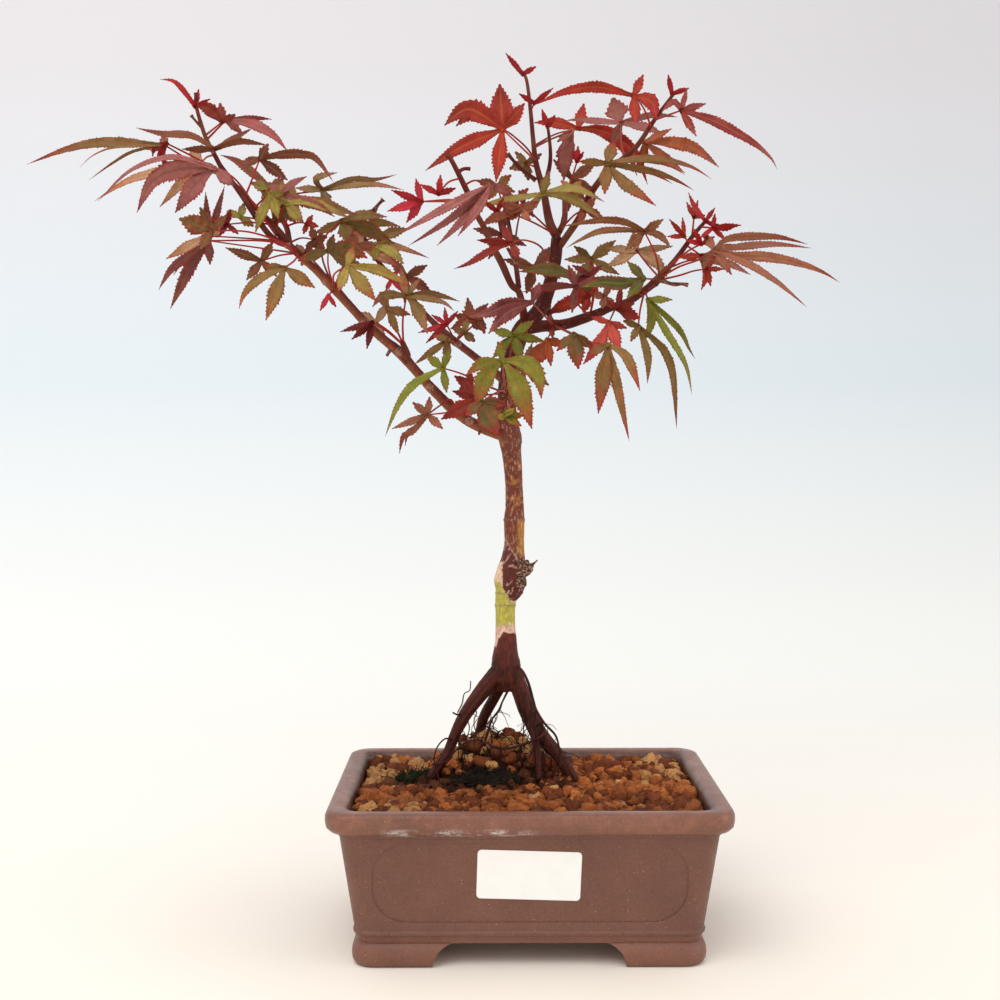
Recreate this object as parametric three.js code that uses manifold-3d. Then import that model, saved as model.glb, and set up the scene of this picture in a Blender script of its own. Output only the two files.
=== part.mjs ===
// A Japanese maple bonsai in a rectangular unglazed clay pot, in millimetres, +Z up.
// The origin is on the ground, under the middle of the whole tree and pot.
import * as THREE from 'three';
import { mergeVertices } from 'three/addons/utils/BufferGeometryUtils.js';
import Module from 'manifold-3d';

const wasm = await Module();
wasm.setup();

// Driving dimensions of the pot.
const POT_HEIGHT = 78.6;
const RIM_WIDTH = 197;
const RIM_DEPTH = 145;
const BODY_WIDTH = 185; // just under the rim
const BODY_DEPTH = 133;
const WAIST_WIDTH = 169; // at the top of the feet
const WAIST_DEPTH = 117;
const RIM_HEIGHT = 12;
const MOUTH_WIDTH = 175;
const MOUTH_DEPTH = 123;
const FLOOR_TOP = 18;
const WALL = 6;
const FOOT_HEIGHT = 12;
const FOOT_THICK = 13;
const FOOT_GAP_FRONT = 94; // between two feet along the front
const FOOT_GAP_SIDE = 56;
const COVE = 12; // radius of the hollow curve at the inner end of a foot
const DRAIN_RADIUS = 9;
const DRAIN_OFFSET = 42;
const PANEL_HEIGHT = 38;
const PANEL_LENGTH = 150;
const PANEL_SIDE_LENGTH = 98;
const PANEL_RADIUS = 17;
const PANEL_DEPTH = 0.8;
const PANEL_MIDDLE = 43; // height of the panel's middle
const CLEAR = 0.3; // gap between pieces that rest on each other
const WOOD_GAP = 0.4; // and round the wood, whose facets cut across its roundness
const CLUMP_GAP = 0.5;

// Driving dimensions of the soil.
const SOIL_LEVEL = 74;
const GRANULE_PITCH = 8.5;
const GRANULE_RELIEF = 2.2;
const MOUND = { x: -12, y: 17, height: 23, halfWidth: 26, halfDepth: 17 };

// Driving dimensions of the label and of the leaves.
const LABEL = { width: 50, height: 25, thick: 0.4, radius: 2, x: -0.5, z: 47, turn: -1.8 };
const BLADE = 0.62; // thickness of a leaf
const PETIOLE = 0.5; // radius of a leaf stalk
const PETIOLE_TIP = 0.25; // where it meets the leaf
const COLLAR_SWELL = 1;
const COLLAR_HOLD = 2.5;
const THICK_STEM = 1.5;
const LEAF_TILT = 50; // degrees that a narrow lobe is turned out of the picture plane

// The tree is drawn as it is seen by an eye in front of it. A point is [x, z, y]: where it
// shows in the upright plane through the trunk, and how far back it really lies.
const TREE_PLANE = 15;
const EYE = new THREE.Vector3(-19.3, -725.4, 257.3);
const SIGHT = TREE_PLANE - EYE.y;

function nearness(y) {
  return (y - EYE.y) / SIGHT;
}

function place([x, z, y]) {
  const k = nearness(y);
  return new THREE.Vector3(EYE.x + (x - EYE.x) * k, y, EYE.z + (z - EYE.z) * k);
}

function seededRandom(seed) {
  let a = seed;
  return () => {
    a = (a + 0x6d2b79f5) | 0;
    let t = Math.imul(a ^ (a >>> 15), 1 | a);
    t = (t + Math.imul(t ^ (t >>> 7), 61 | t)) ^ t;
    return ((t ^ (t >>> 14)) >>> 0) / 4294967296;
  };
}

// Solids: closed meshes in and out of the boolean library.

function meshGeometry(points, faces) {
  const geometry = new THREE.BufferGeometry();
  const flat = points.flatMap((p) => [p.x, p.y, p.z]);
  geometry.setAttribute('position', new THREE.Float32BufferAttribute(flat, 3));
  geometry.setIndex(faces.flat());
  return geometry;
}

function solidOf(geometry, matrix) {
  const bare = geometry.clone();
  bare.deleteAttribute('normal');
  bare.deleteAttribute('uv');
  if (matrix) bare.applyMatrix4(matrix);
  const merged = mergeVertices(bare, 1e-4);
  return new wasm.Manifold(new wasm.Mesh({
    numProp: 3,
    vertProperties: merged.attributes.position.array,
    triVerts: new Uint32Array(merged.index.array),
  }));
}

function geometryOf(solid) {
  const mesh = solid.getMesh();
  const geometry = new THREE.BufferGeometry();
  geometry.setAttribute('position', new THREE.Float32BufferAttribute(mesh.vertProperties, 3));
  geometry.setIndex(Array.from(mesh.triVerts));
  return geometry;
}

function joined(solids) {
  return solids.reduce((sum, solid) => sum.add(solid));
}

// The largest body of a solid: crumbs that a cut leaves behind are dropped.
function mainBody(solid) {
  const bodies = solid.decompose();
  return bodies.reduce((best, body) => (body.volume() > best.volume() ? body : best));
}

// A closed solid through rings of points, all with the same count, with flat ends.
function loftSolid(rings) {
  const count = rings[0].length;
  const points = rings.flat();
  const faces = [];
  for (let i = 1; i < count - 1; i += 1) {
    const top = (rings.length - 1) * count;
    faces.push([0, i + 1, i], [top, top + i, top + i + 1]);
  }
  for (let r = 0; r < rings.length - 1; r += 1) {
    for (let i = 0; i < count; i += 1) {
      const a = r * count + i;
      const b = r * count + ((i + 1) % count);
      faces.push([a, b, b + count], [a, b + count, a + count]);
    }
  }
  return solidOf(meshGeometry(points, faces));
}

function roundedRing(width, depth, radius, z, steps = 3) {
  const ring = [];
  const corners = [[1, -1], [1, 1], [-1, 1], [-1, -1]];
  corners.forEach(([sx, sy], quarter) => {
    const cx = sx * (width / 2 - radius);
    const cy = sy * (depth / 2 - radius);
    for (let i = 0; i <= steps; i += 1) {
      const angle = ((quarter - 1) + i / steps) * Math.PI / 2;
      ring.push(new THREE.Vector3(cx + radius * Math.cos(angle), cy + radius * Math.sin(angle), z));
    }
  });
  return ring;
}

// A round tube through real points, longer by reach at both ends.
function tubeSolid(centres, radii, sides, reach = 0) {
  const rings = [];
  let normal = new THREE.Vector3(0, 1, 0);
  centres.forEach((centre, i) => {
    const before = centres[Math.max(i - 1, 0)];
    const after = centres[Math.min(i + 1, centres.length - 1)];
    const along = after.clone().sub(before).normalize();
    normal = normal.clone().addScaledVector(along, -normal.dot(along)).normalize();
    const side = along.clone().cross(normal);
    const ring = [];
    for (let s = 0; s < sides; s += 1) {
      const turn = (s / sides) * 2 * Math.PI;
      ring.push(centre.clone()
        .addScaledVector(normal, radii[i] * Math.cos(turn))
        .addScaledVector(side, radii[i] * Math.sin(turn)));
    }
    rings.push(ring);
  });
  if (reach > 0) {
    const last = centres.length - 1;
    const head = centres[1].clone().sub(centres[0]).setLength(-reach);
    const tail = centres[last].clone().sub(centres[last - 1]).setLength(reach);
    rings[0].forEach((p) => p.add(head));
    rings[last].forEach((p) => p.add(tail));
  }
  return loftSolid(rings);
}

// A limb: a tube along seen points, each with its radius.
function limbSolid(path, sides, grow = 0) {
  const centres = path.map(([x, z, y]) => place([x, z, y]));
  const radii = path.map(([, , y, r]) => r * nearness(y) + grow);
  return tubeSolid(centres, radii, sides, grow);
}

// The pot.

const WALL_RISE = POT_HEIGHT - RIM_HEIGHT - FOOT_HEIGHT;
const LEAN = (BODY_WIDTH - WAIST_WIDTH) / 2 / WALL_RISE;

function potBody() {
  const under = POT_HEIGHT - RIM_HEIGHT;
  return loftSolid([
    roundedRing(WAIST_WIDTH, WAIST_DEPTH, 8, FOOT_HEIGHT),
    roundedRing(BODY_WIDTH, BODY_DEPTH, 9, under),
    roundedRing(BODY_WIDTH + 2.5, BODY_DEPTH + 2.5, 9, under + 0.8),
    roundedRing(RIM_WIDTH - 2, RIM_DEPTH - 2, 11, under + 2.6),
    roundedRing(RIM_WIDTH, RIM_DEPTH, 12, under + 5),
    roundedRing(RIM_WIDTH, RIM_DEPTH, 12, POT_HEIGHT - 3),
    roundedRing(RIM_WIDTH - 3, RIM_DEPTH - 3, 11, POT_HEIGHT),
    roundedRing(MOUTH_WIDTH + 3, MOUTH_DEPTH + 3, 7, POT_HEIGHT),
    roundedRing(MOUTH_WIDTH, MOUTH_DEPTH, 6, POT_HEIGHT - 2),
    roundedRing(WAIST_WIDTH - 2 * WALL, WAIST_DEPTH - 2 * WALL, 6, FLOOR_TOP),
  ]);
}

// An arch with hollow-curved shoulders, which leaves a foot on each side of it.
function archCutter(gap, length) {
  const half = gap / 2;
  const shape = new THREE.Shape();
  shape.moveTo(-half, -1);
  shape.lineTo(half, -1);
  shape.lineTo(half, 0);
  shape.absarc(half - COVE, 0, COVE, 0, Math.PI / 2, false);
  shape.lineTo(-half + COVE, COVE);
  shape.absarc(-half + COVE, 0, COVE, Math.PI / 2, Math.PI, false);
  shape.lineTo(-half, -1);
  const arch = new THREE.ExtrudeGeometry(shape, { depth: length, bevelEnabled: false, curveSegments: 4 });
  arch.translate(0, 0, -length / 2);
  arch.rotateX(Math.PI / 2);
  return arch;
}

function potFeet() {
  const block = loftSolid([
    roundedRing(WAIST_WIDTH + 3, WAIST_DEPTH + 3, 8, 0),
    roundedRing(WAIST_WIDTH + 5, WAIST_DEPTH + 5, 9, 6),
    roundedRing(WAIST_WIDTH + 3, WAIST_DEPTH + 3, 9, 10),
    roundedRing(WAIST_WIDTH, WAIST_DEPTH, 8, FOOT_HEIGHT),
    roundedRing(WAIST_WIDTH, WAIST_DEPTH, 8, FOOT_HEIGHT + 1),
  ]);
  const well = new THREE.BoxGeometry(
    WAIST_WIDTH + 2 - 2 * FOOT_THICK,
    WAIST_DEPTH + 2 - 2 * FOOT_THICK,
    FOOT_HEIGHT + 1,
  );
  well.translate(0, 0, (FOOT_HEIGHT - 1) / 2);
  const across = archCutter(FOOT_GAP_FRONT, RIM_DEPTH);
  const along = archCutter(FOOT_GAP_SIDE, RIM_WIDTH);
  along.rotateZ(Math.PI / 2);
  return block.subtract(solidOf(well)).subtract(solidOf(across)).subtract(solidOf(along));
}

// The frame of a leaning wall: x along the wall, y up it and z out of it.
function wallFrame(side, out, height) {
  const lean = Math.atan(LEAN);
  const turn = new THREE.Matrix4().makeRotationZ(side * Math.PI / 2);
  const onWall = new THREE.Matrix4().makeBasis(
    new THREE.Vector3(1, 0, 0),
    new THREE.Vector3(0, -Math.sin(lean), Math.cos(lean)),
    new THREE.Vector3(0, -Math.cos(lean), -Math.sin(lean)),
  ).setPosition(0, -out - (height - FOOT_HEIGHT) * LEAN, height);
  return turn.multiply(onWall);
}

function roundedShape(width, height, radius) {
  const x = width / 2;
  const y = height / 2;
  const shape = new THREE.Shape();
  shape.moveTo(x, -y + radius);
  shape.lineTo(x, y - radius);
  shape.absarc(x - radius, y - radius, radius, 0, Math.PI / 2, false);
  shape.lineTo(-x + radius, y);
  shape.absarc(-x + radius, y - radius, radius, Math.PI / 2, Math.PI, false);
  shape.lineTo(-x, -y + radius);
  shape.absarc(-x + radius, -y + radius, radius, Math.PI, 1.5 * Math.PI, false);
  shape.lineTo(x - radius, -y);
  shape.absarc(x - radius, -y + radius, radius, 1.5 * Math.PI, 2 * Math.PI, false);
  return shape;
}

function panelCutter(side, length, out) {
  const shape = roundedShape(length, PANEL_HEIGHT, PANEL_RADIUS);
  const slab = new THREE.ExtrudeGeometry(shape, { depth: 4, bevelEnabled: false, curveSegments: 3 });
  slab.translate(0, 0, -PANEL_DEPTH);
  return solidOf(slab, wallFrame(side, out, PANEL_MIDDLE));
}

function drainHole(x) {
  const hole = new THREE.CylinderGeometry(DRAIN_RADIUS, DRAIN_RADIUS, FLOOR_TOP, 16);
  hole.rotateX(Math.PI / 2);
  hole.translate(x, 0, FOOT_HEIGHT + FLOOR_TOP / 2 - 6);
  return solidOf(hole);
}

function potSolid() {
  const cutters = [
    panelCutter(0, PANEL_LENGTH, WAIST_DEPTH / 2),
    panelCutter(1, PANEL_SIDE_LENGTH, WAIST_WIDTH / 2),
    panelCutter(2, PANEL_LENGTH, WAIST_DEPTH / 2),
    panelCutter(3, PANEL_SIDE_LENGTH, WAIST_WIDTH / 2),
    drainHole(-DRAIN_OFFSET),
    drainHole(DRAIN_OFFSET),
  ];
  return cutters.reduce((pot, cutter) => pot.subtract(cutter), potBody().add(potFeet()));
}

// A square plastic screen over a drainage hole, with four openings.
const SCREEN = { size: 30, thick: 0.8, opening: 10, spacing: 12 };

function screenSolid(x) {
  const plate = new THREE.BoxGeometry(SCREEN.size, SCREEN.size, SCREEN.thick);
  const offset = SCREEN.spacing / 2;
  let screen = solidOf(plate);
  for (const [cx, cy] of [[-offset, -offset], [offset, -offset], [offset, offset], [-offset, offset]]) {
    const opening = new THREE.BoxGeometry(SCREEN.opening, SCREEN.opening, 2 * SCREEN.thick);
    opening.translate(cx, cy, 0);
    screen = screen.subtract(solidOf(opening));
  }
  return screen.translate([x, 0, FLOOR_TOP + CLEAR + SCREEN.thick / 2]);
}

function labelSolid() {
  const shape = roundedShape(LABEL.width, LABEL.height, LABEL.radius);
  const sheet = new THREE.ExtrudeGeometry(shape, {
    depth: LABEL.thick,
    bevelEnabled: false,
    curveSegments: 3,
  });
  sheet.rotateZ(THREE.MathUtils.degToRad(LABEL.turn));
  sheet.translate(LABEL.x, 0, CLEAR - PANEL_DEPTH);
  return solidOf(sheet, wallFrame(0, WAIST_DEPTH / 2, LABEL.z));
}

// The wood: [x, z, y, radius] along each limb.

const TRUNK = [
  [-10.6, 122, 15, 6], [-10.7, 128, 15, 7.6], [-10.7, 135, 15, 7.9], [-10.9, 140, 15, 7.1],
  [-10.8, 145, 15, 6.2], [-10.7, 150, 15, 5.6], [-11.1, 160, 15, 5.2], [-10.9, 170, 15, 5.5],
  [-9.4, 175, 15, 7.3], [-8.5, 180, 15, 8.7], [-7.8, 186, 15, 7.8], [-7, 191, 15, 6.7],
  [-6.4, 200, 15, 5.3], [-6.3, 213, 15, 5.5], [-6.1, 221, 15, 4.8], [-6.9, 238, 15, 4.8],
  [-7.8, 249, 15, 5.1], [-8.6, 256, 15, 6.3], [-9.5, 263, 14, 5.5], [-10.5, 275, 14, 4.7],
  [-10.5, 286, 14, 4.1], [-8.6, 296, 15, 4], [-5.6, 304, 16, 4.6], [-2.4, 313, 18, 4.9],
  [5, 321, 20, 4.2], [10, 330, 22, 3.8], [13, 340, 24, 3.5], [15.3, 351, 26, 3.5], [16, 361, 28, 3.3],
];

const ROOTS = [
  [[-12.5, 134, 15, 5], [-17, 129, 14, 4.9], [-24, 120.5, 12, 4.3], [-29, 114, 10, 3.8],
    [-34, 106, 9, 3.4], [-38, 98, 8, 2.9], [-42, 88, 7, 2.7], [-47, 81, 6, 2.6], [-54, 70, 4, 2.2]],
  [[-11.5, 129, 17, 3.6], [-17, 118, 20, 3], [-22, 108.5, 24, 2.8], [-25, 98, 28, 2.6], [-28, 84, 31, 2.3],
    [-30, 76, 32, 2]],
  [[-8, 133, 15, 5], [-4, 124, 14, 4.8], [1, 111, 12, 4.4], [6, 101, 11, 4.1], [12, 93, 9, 3.9],
    [18, 86, 8, 3.6], [26, 73, 6, 3]],
  [[2, 108, 10, 2.4], [5, 95, 5, 2.1], [6.4, 86, 2, 1.8], [7, 74, -1, 1.5]],
  [[-6, 127, 21, 3], [-2, 112, 30, 2.6], [4, 98, 40, 2.2], [9, 82, 46, 1.8], [11, 72, 48, 1.6]],
  [[-5, 135, 11, 1], [0, 131, 8, 0.9], [3, 125, 6, 0.9], [6, 115, 5, 0.8], [11, 107, 3, 0.8],
    [16.5, 100.5, 1, 0.7], [19, 92, -1, 0.7], [19, 76, -3, 0.6]],
  [[-9.5, 122, 10, 0.9], [-13, 114, 8, 0.8], [-18.5, 106, 7, 0.7], [-21, 97, 6, 0.7], [-21, 82, 6, 0.6]],
  [[8, 105, 6, 0.8], [9.5, 99, 2, 0.7], [5, 95.5, -1, 0.7], [-8, 91, -3, 0.7], [-17, 91.5, -3, 0.7],
    [-22, 94, 0, 0.6], [-26, 88, 4, 0.6], [-28, 78, 6, 0.6]],
  [[-39, 95, 6, 0.8], [-44, 98, 2, 0.7], [-49, 94, 0, 0.6], [-51, 86, -1, 0.6], [-51, 72, -2, 0.6]],
];

const LEFT_BRANCH = [
  [-9, 257, 15, 3.6], [-20, 260.5, 14, 3.2], [-30, 265, 13, 2.9], [-40, 272.5, 11, 2.8],
  [-50, 282.5, 9, 2.7], [-60, 293.5, 7, 2.5], [-66, 300.5, 5, 2.8], [-75, 308, 3, 2.4],
  [-85, 317, 0, 2.3], [-95, 328, -3, 2.2], [-103, 337, -5, 2.6], [-110, 344, -7, 2.1],
  [-117, 350, -8, 2], [-122, 355, -9, 2], [-126, 358, -10, 2.2],
];

const SECOND_LEFT_BRANCH = [
  [-11, 286, 15, 2.6], [-17, 291, 19, 2.2], [-24, 296.5, 25, 2.1], [-31, 302, 31, 2], [-41, 309.5, 38, 2.2],
];

const RIGHT_BRANCH = [
  [-2, 313, 17, 3.4], [8, 315, 13, 3.1], [20, 316, 8, 2.8], [30, 319, 4, 2.6], [38, 322, 0, 2.3],
  [45, 325, -3, 2.1], [52, 327, -5, 2], [60, 332, -8, 1.9], [67, 337.5, -10, 2.1],
];

const GRAFT_STUB = [[-4, 184, 11, 4.2], [-1.5, 186.5, 8, 4.1], [1, 188, 5, 3.6]];

const LIMBS = [
  { path: TRUNK, sides: 9 },
  ...ROOTS.map((path) => ({ path, sides: path[0][3] > 2 ? 6 : 4 })),
  { path: LEFT_BRANCH, sides: 6 },
  { path: SECOND_LEFT_BRANCH, sides: 6 },
  { path: RIGHT_BRANCH, sides: 6 },
  { path: GRAFT_STUB, sides: 6 },
];

function woodSolid(grow) {
  return joined(LIMBS.map(({ path, sides }) => limbSolid(path, sides, grow)));
}

// Leaves. A leaf is its hub, the points of its stalk from the wood on, and its lobes as
// [width, how much further back the tip lies than the hub, x, z, x, z ... to the tip].
// twin is the leaf on the other side of the same node: [its hub's y, its size].

const leaf = (hub, stalk, lobes, twin = null) => ({ hub, stalk, lobes, twin });

const SPRAYS = [
  {
    name: 'left_tip_spray',
    color: 0x8f6a62,
    stems: [[[-126, 358, -10, 2.6], [-129, 363, -11, 2.1], [-133, 368, -12, 1.6], [-142, 377, -14, 1.4],
      [-150, 386, -16, 1.3], [-157, 393, -18, 1.3], [-163, 404, -20, 1.2], [-168, 414, -23, 1.1],
      [-172.5, 429, -25, 0.9]]],
    leaves: [
      leaf([-189, 409, -40], [[-159, 396, -18], [-170, 398, -26]], [
        [5.5, -4, -220, 410.5, -240, 407, -261, 399], [4, 14, -201, 400.5, -222, 386.5],
        [3.2, -17, -210, 403.5, -229, 396.5], [5, 15, -190, 414]]),
      leaf([-163, 407, -36], [[-164, 405, -20]], [
        [4, -8, -175, 414, -190, 415, -204, 418], [3.5, -6, -150, 411, -135, 409],
        [3.5, 14, -143, 418], [4, -10, -180, 407]]),
      leaf([-163, 397, -56], [[-159, 396, -18], [-161, 399, -36]], [
        [8.5, -8, -180, 397, -195, 391, -204, 374], [8, -4, -172, 390, -184, 374],
        [3, -16, -185, 403, -207, 396, -224, 380], [5, -6, -153, 392]]),
      leaf([-170, 400, 6], [[-163, 404, -19], [-167, 403, -6]], [
        [4.5, 6, -205, 392, -226, 380], [4.5, 12, -182, 388, -192, 377], [6, 14, -176, 408],
        [5, 18, -160, 394]]),
      leaf([-157, 421, -8], [[-167, 412, -22]], [
        [5, 4, -171, 427], [5, 6, -156, 430], [5, -6, -143, 418, -132, 413.5, -125, 406],
        [3.5, 12, -133, 423]]),
      leaf([-173, 429, -26], [[-171.5, 425, -25]], [
        [3, -4, -178, 436, -184, 442, -191, 443], [3, 3, -171, 438], [2.5, 4, -165, 433]]),
      leaf([-139.5, 402, -2], [[-147, 383, -15], [-143, 393, -8]], [
        [5, -10, -130, 404, -118, 404.5, -110, 402, -101, 390], [6, 12, -125, 391],
        [5, 6, -149, 400], [5, -12, -135, 410]]),
      leaf([-126, 379, -22], [[-131, 365.5, -11], [-130, 370, -15]], [
        [5, -6, -115, 380, -105, 377, -92, 371], [6, -4, -139, 385], [6, 6, -128, 391],
        [7, -8, -117, 369]]),
    ],
  },
  {
    name: 'left_inner_spray',
    color: 0x7d6a45,
    stems: [[[-123.5, 356.3, -9, 1.3], [-124.3, 359.5, -3.5, 1.4], [-126, 367, 0, 1.5], [-131, 375, 6, 1.4],
      [-140, 388, 12, 1.1]]],
    leaves: [
      leaf([-134, 387, 24], [[-138, 385, 11]], [
        [5, 8, -150, 400, -160, 404], [5, 14, -127, 392], [6, 20, -138, 377]]),
      leaf([-107, 386, 30], [[-139, 387, 12], [-124, 384, 22]], [
        [3.5, 6, -95, 388, -80, 389, -64, 386], [3.5, -10, -110, 392, -99, 395], [4, -8, -121, 387],
        [6, 22, -103, 377]]),
    ],
  },
  {
    name: 'left_elbow_leaves',
    color: 0x6b4342,
    collar: [[-118.5, 351.5, -8.3, 2], [-121, 354, -8.8, 2]],
    leaves: [
      leaf([-166.5, 359.5, -30], [[-120, 353, -8.6], [-126, 357, -15], [-139, 359.5, -20]], [
        [5, -8, -175, 353, -186, 345, -193, 334], [6.5, -16, -172, 352, -178, 343, -187, 324],
        [5, -12, -166, 347], [4, 8, -168, 385], [4, 10, -161, 378, -158, 388]], [30, 0.7]),
      leaf([-165, 365, -52], [[-120, 353, -8.6], [-127, 358, -18], [-145, 364, -34]], [
        [11, -4, -182, 371], [6, 4, -171, 377], [6, -10, -171, 355], [5, 6, -157, 373]]),
      leaf([-168, 362, 8], [[-120, 353, -8.6], [-129, 359, -1], [-150, 361, 4]], [
        [5.5, 8, -189, 350], [5, 6, -167, 350], [5, -2, -157, 366], [6, 10, -177, 373]]),
      leaf([-139, 349, -22], [[-120, 353, -8.6], [-129, 352, -16]], [
        [5, -6, -158, 356], [5, -4, -147, 339], [5, 5, -133, 359], [5, 4, -131, 341]]),
      leaf([-127, 345.5, -40], [[-119.5, 352.5, -8.6], [-122, 349, -26]], [
        [5, -8, -140, 340, -148, 332, -151, 324], [8, -14, -137, 318], [7, -6, -111, 335],
        [4.5, 4, -138, 346]]),
    ],
  },
  {
    name: 'left_node_leaves',
    color: 0x6f8a3c,
    collar: [[-99.5, 333, -4.1, 2.4], [-102.3, 336.2, -4.8, 2.5]],
    leaves: [
      leaf([-104, 354, -12], [[-101, 334.6, -4.5], [-104, 346, -10]], [
        [8, -10, -83, 350], [5, -6, -121, 348], [5, 4, -89, 359], [6, -10, -101, 342],
        [4.5, 6, -101, 363]]),
      leaf([-96, 369, 12], [[-101, 334.6, -4.5], [-107, 350, 3], [-106, 361, 7]], [
        [4, 6, -85, 364, -75, 359, -65, 357.5], [4, -8, -84, 371, -73, 371.5], [5, 8, -111, 378],
        [8, -4, -92, 381]]),
      leaf([-94, 346.5, -34], [[-101, 334.6, -4.5], [-101, 342, -20]], [
        [8, -8, -79, 328], [5.5, -4, -80, 345, -70, 341, -61, 335], [6, -10, -99, 333],
        [5, 8, -91, 357]]),
      leaf([-104, 331, -14], [[-101, 334.6, -4.5]], [
        [3, -3, -108.5, 323], [2.6, 3, -100, 325]]),
    ],
  },
  {
    name: 'low_left_shoot',
    color: 0x7a6a55,
    collar: [[-62.5, 296.4, 6.2, 2.7], [-65, 299.4, 5.3, 2.8]],
    stems: [[[-63.8, 298, 5.7, 1.8], [-62.6, 299.8, 1.4, 1.8], [-65.5, 307, 0, 1.4]]],
    leaves: [
      leaf([-63, 331, -14], [[-64.7, 305, 0.4], [-65, 318, -6]], [
        [5, -4, -75, 331, -81, 325], [7, -12, -58, 325, -52, 311], [3.5, -2, -50, 332, -35, 328],
        [3.5, -20, -45, 328, -38, 323], [4.5, 8, -66, 345], [3.5, 10, -56, 340]]),
      leaf([-73, 324.5, 2], [[-64.7, 305, 0.4], [-69, 315, 4]], [
        [5, -6, -61, 321], [4.5, -6, -67, 310], [5, 6, -77, 333]]),
      leaf([-79, 317, 16], [[-64.7, 305, 0.4], [-72, 312, 10]], [
        [6, 6, -76, 306], [5, 5, -73, 327], [6, 6, -90, 322]]),
      leaf([-81, 317, -14], [[-64.7, 305, 0.4], [-73, 312, -5]], [
        [4, -9, -92, 308], [4, -6, -84, 303], [3.5, 2, -98, 312]]),
    ],
  },
  {
    name: 'low_left_leaf',
    color: 0x93662f,
    collar: [[-35, 268.8, 12, 2.85], [-38, 271, 11.4, 2.8]],
    leaves: [
      leaf([-52, 268.5, -6], [[-36.5, 270, 11.7], [-40, 276.5, 4], [-46, 273, -2]], [
        [4, -4, -71, 261], [3.5, -9, -60, 260, -65, 257, -67, 248], [4.5, -6, -44, 261],
        [4.5, 4, -60, 275], [4, 4, -51, 278]], [24, 0.8]),
    ],
  },
  {
    name: 'second_left_spray',
    color: 0x9a8d6a,
    collar: [[-35, 305, 33.8, 2.15], [-38, 307.3, 35.9, 2.2]],
    stems: [[[-37, 306.5, 35.2, 2.4], [-42, 310.5, 38.8, 2.3], [-52, 320, 43, 1.6], [-63, 332, 47, 1.7], [-73, 343, 47, 1.4],
      [-80, 352, 46, 1.3], [-86, 363, 44, 1.1]]],
    leaves: [
      leaf([-42, 316, 26], [[-37, 306.5, 35.2]], [
        [3, -4, -57, 311.5], [2.6, 2, -50, 321], [2.6, 3, -43, 325], [2.6, 3, -36, 323],
        [3, -6, -53, 306]]),
      leaf([-41, 308, 18], [[-37, 306.5, 35.2]], [
        [4, -4, -59, 295], [4.5, -4, -43, 296], [4, 2, -49, 310]]),
      leaf([-33, 312, 14], [[-37, 306.5, 35.2], [-35, 311, 24]], [
        [5, -4, -27, 307], [4, -2, -39, 314], [4, 3, -31, 319]]),
      leaf([-29, 318, 50], [[-37, 306.5, 35.2]], [
        [5, 4, -38, 321], [5, 6, -20, 327], [5, 8, -23, 313], [5, 14, -31, 330]]),
      leaf([-86, 356, 30], [[-83, 357.5, 45]], [
        [5, 4, -66, 346], [3.5, -8, -74, 358, -60, 354, -51, 350.5], [6, 10, -91, 367],
        [5, 14, -98, 352]]),
      leaf([-78, 362, 66], [[-84, 360, 45]], [
        [6, 6, -62, 366], [6, 10, -70, 350], [6, 10, -82, 376], [5, 14, -96, 367]]),
      leaf([-63, 341, 66], [[-65, 334.5, 47]], [
        [6, 8, -50, 333], [5, 6, -52, 347], [5, 10, -64, 327], [5, 14, -72, 351]]),
    ],
  },
  {
    name: 'fork_front_leaves',
    color: 0x86a03e,
    collar: [[-10.5, 277.5, 14, 4.6], [-10.5, 281.5, 14, 4.4]],
    leaves: [
      leaf([-12.5, 297, -34], [[-10.5, 279.5, 14], [-12, 289, -14]], [
        [8, -14, -26, 270], [6, -6, -32, 289], [9, -18, 2.5, 260.5], [6, -10, 2, 291, 8, 285, 7.5, 276],
        [5, 4, -15, 307]]),
      leaf([-7, 310.5, -12], [[-10.5, 279.5, 14], [-9, 297, -3]], [
        [5, -4, 4, 318], [5, -6, 10, 307], [6, -8, -2, 296], [5, -8, -18, 298], [5, -2, -18, 313]]),
      leaf([-26, 277, -12], [[-10.5, 279.5, 14], [-20, 279, -2]], [
        [8, -8, -45, 266], [5, 2, -39, 281], [5, 4, -35, 289], [5, -6, -23, 264]]),
      leaf([-20, 272, -54], [[-10.5, 279.5, 14], [-14, 281, -24]], [
        [6, -4, -10, 276], [9, -8, -15, 258], [5, -6, -29, 265]]),
      leaf([-12, 268, -14], [[-10.5, 279, 14]], [
        [5, -3, 0, 268], [4, -4, -4, 260], [5, -3, -18, 260]]),
      leaf([-44, 293, -14], [[-10.5, 279.5, 14], [-26, 286, 0], [-34, 290, -7]], [
        [4.5, -10, -50, 290, -60, 284, -68, 273, -74.5, 257], [4.5, -8, -42, 280], [4.5, 3, -40, 304],
        [5, 5, -53, 300]]),
      leaf([-1, 292, 44], [[-10.5, 279.5, 14], [-5, 288, 32]], [
        [6, 12, 12, 284], [6, 10, -6, 276], [6, 8, -16, 295], [5, 12, 3, 306]]),
    ],
  },
  {
    name: 'right_branch_inner_leaves',
    color: 0x6e7a3a,
    collar: [[13, 315.4, 10.9, 3], [16.5, 315.7, 9.4, 2.9]],
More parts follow.
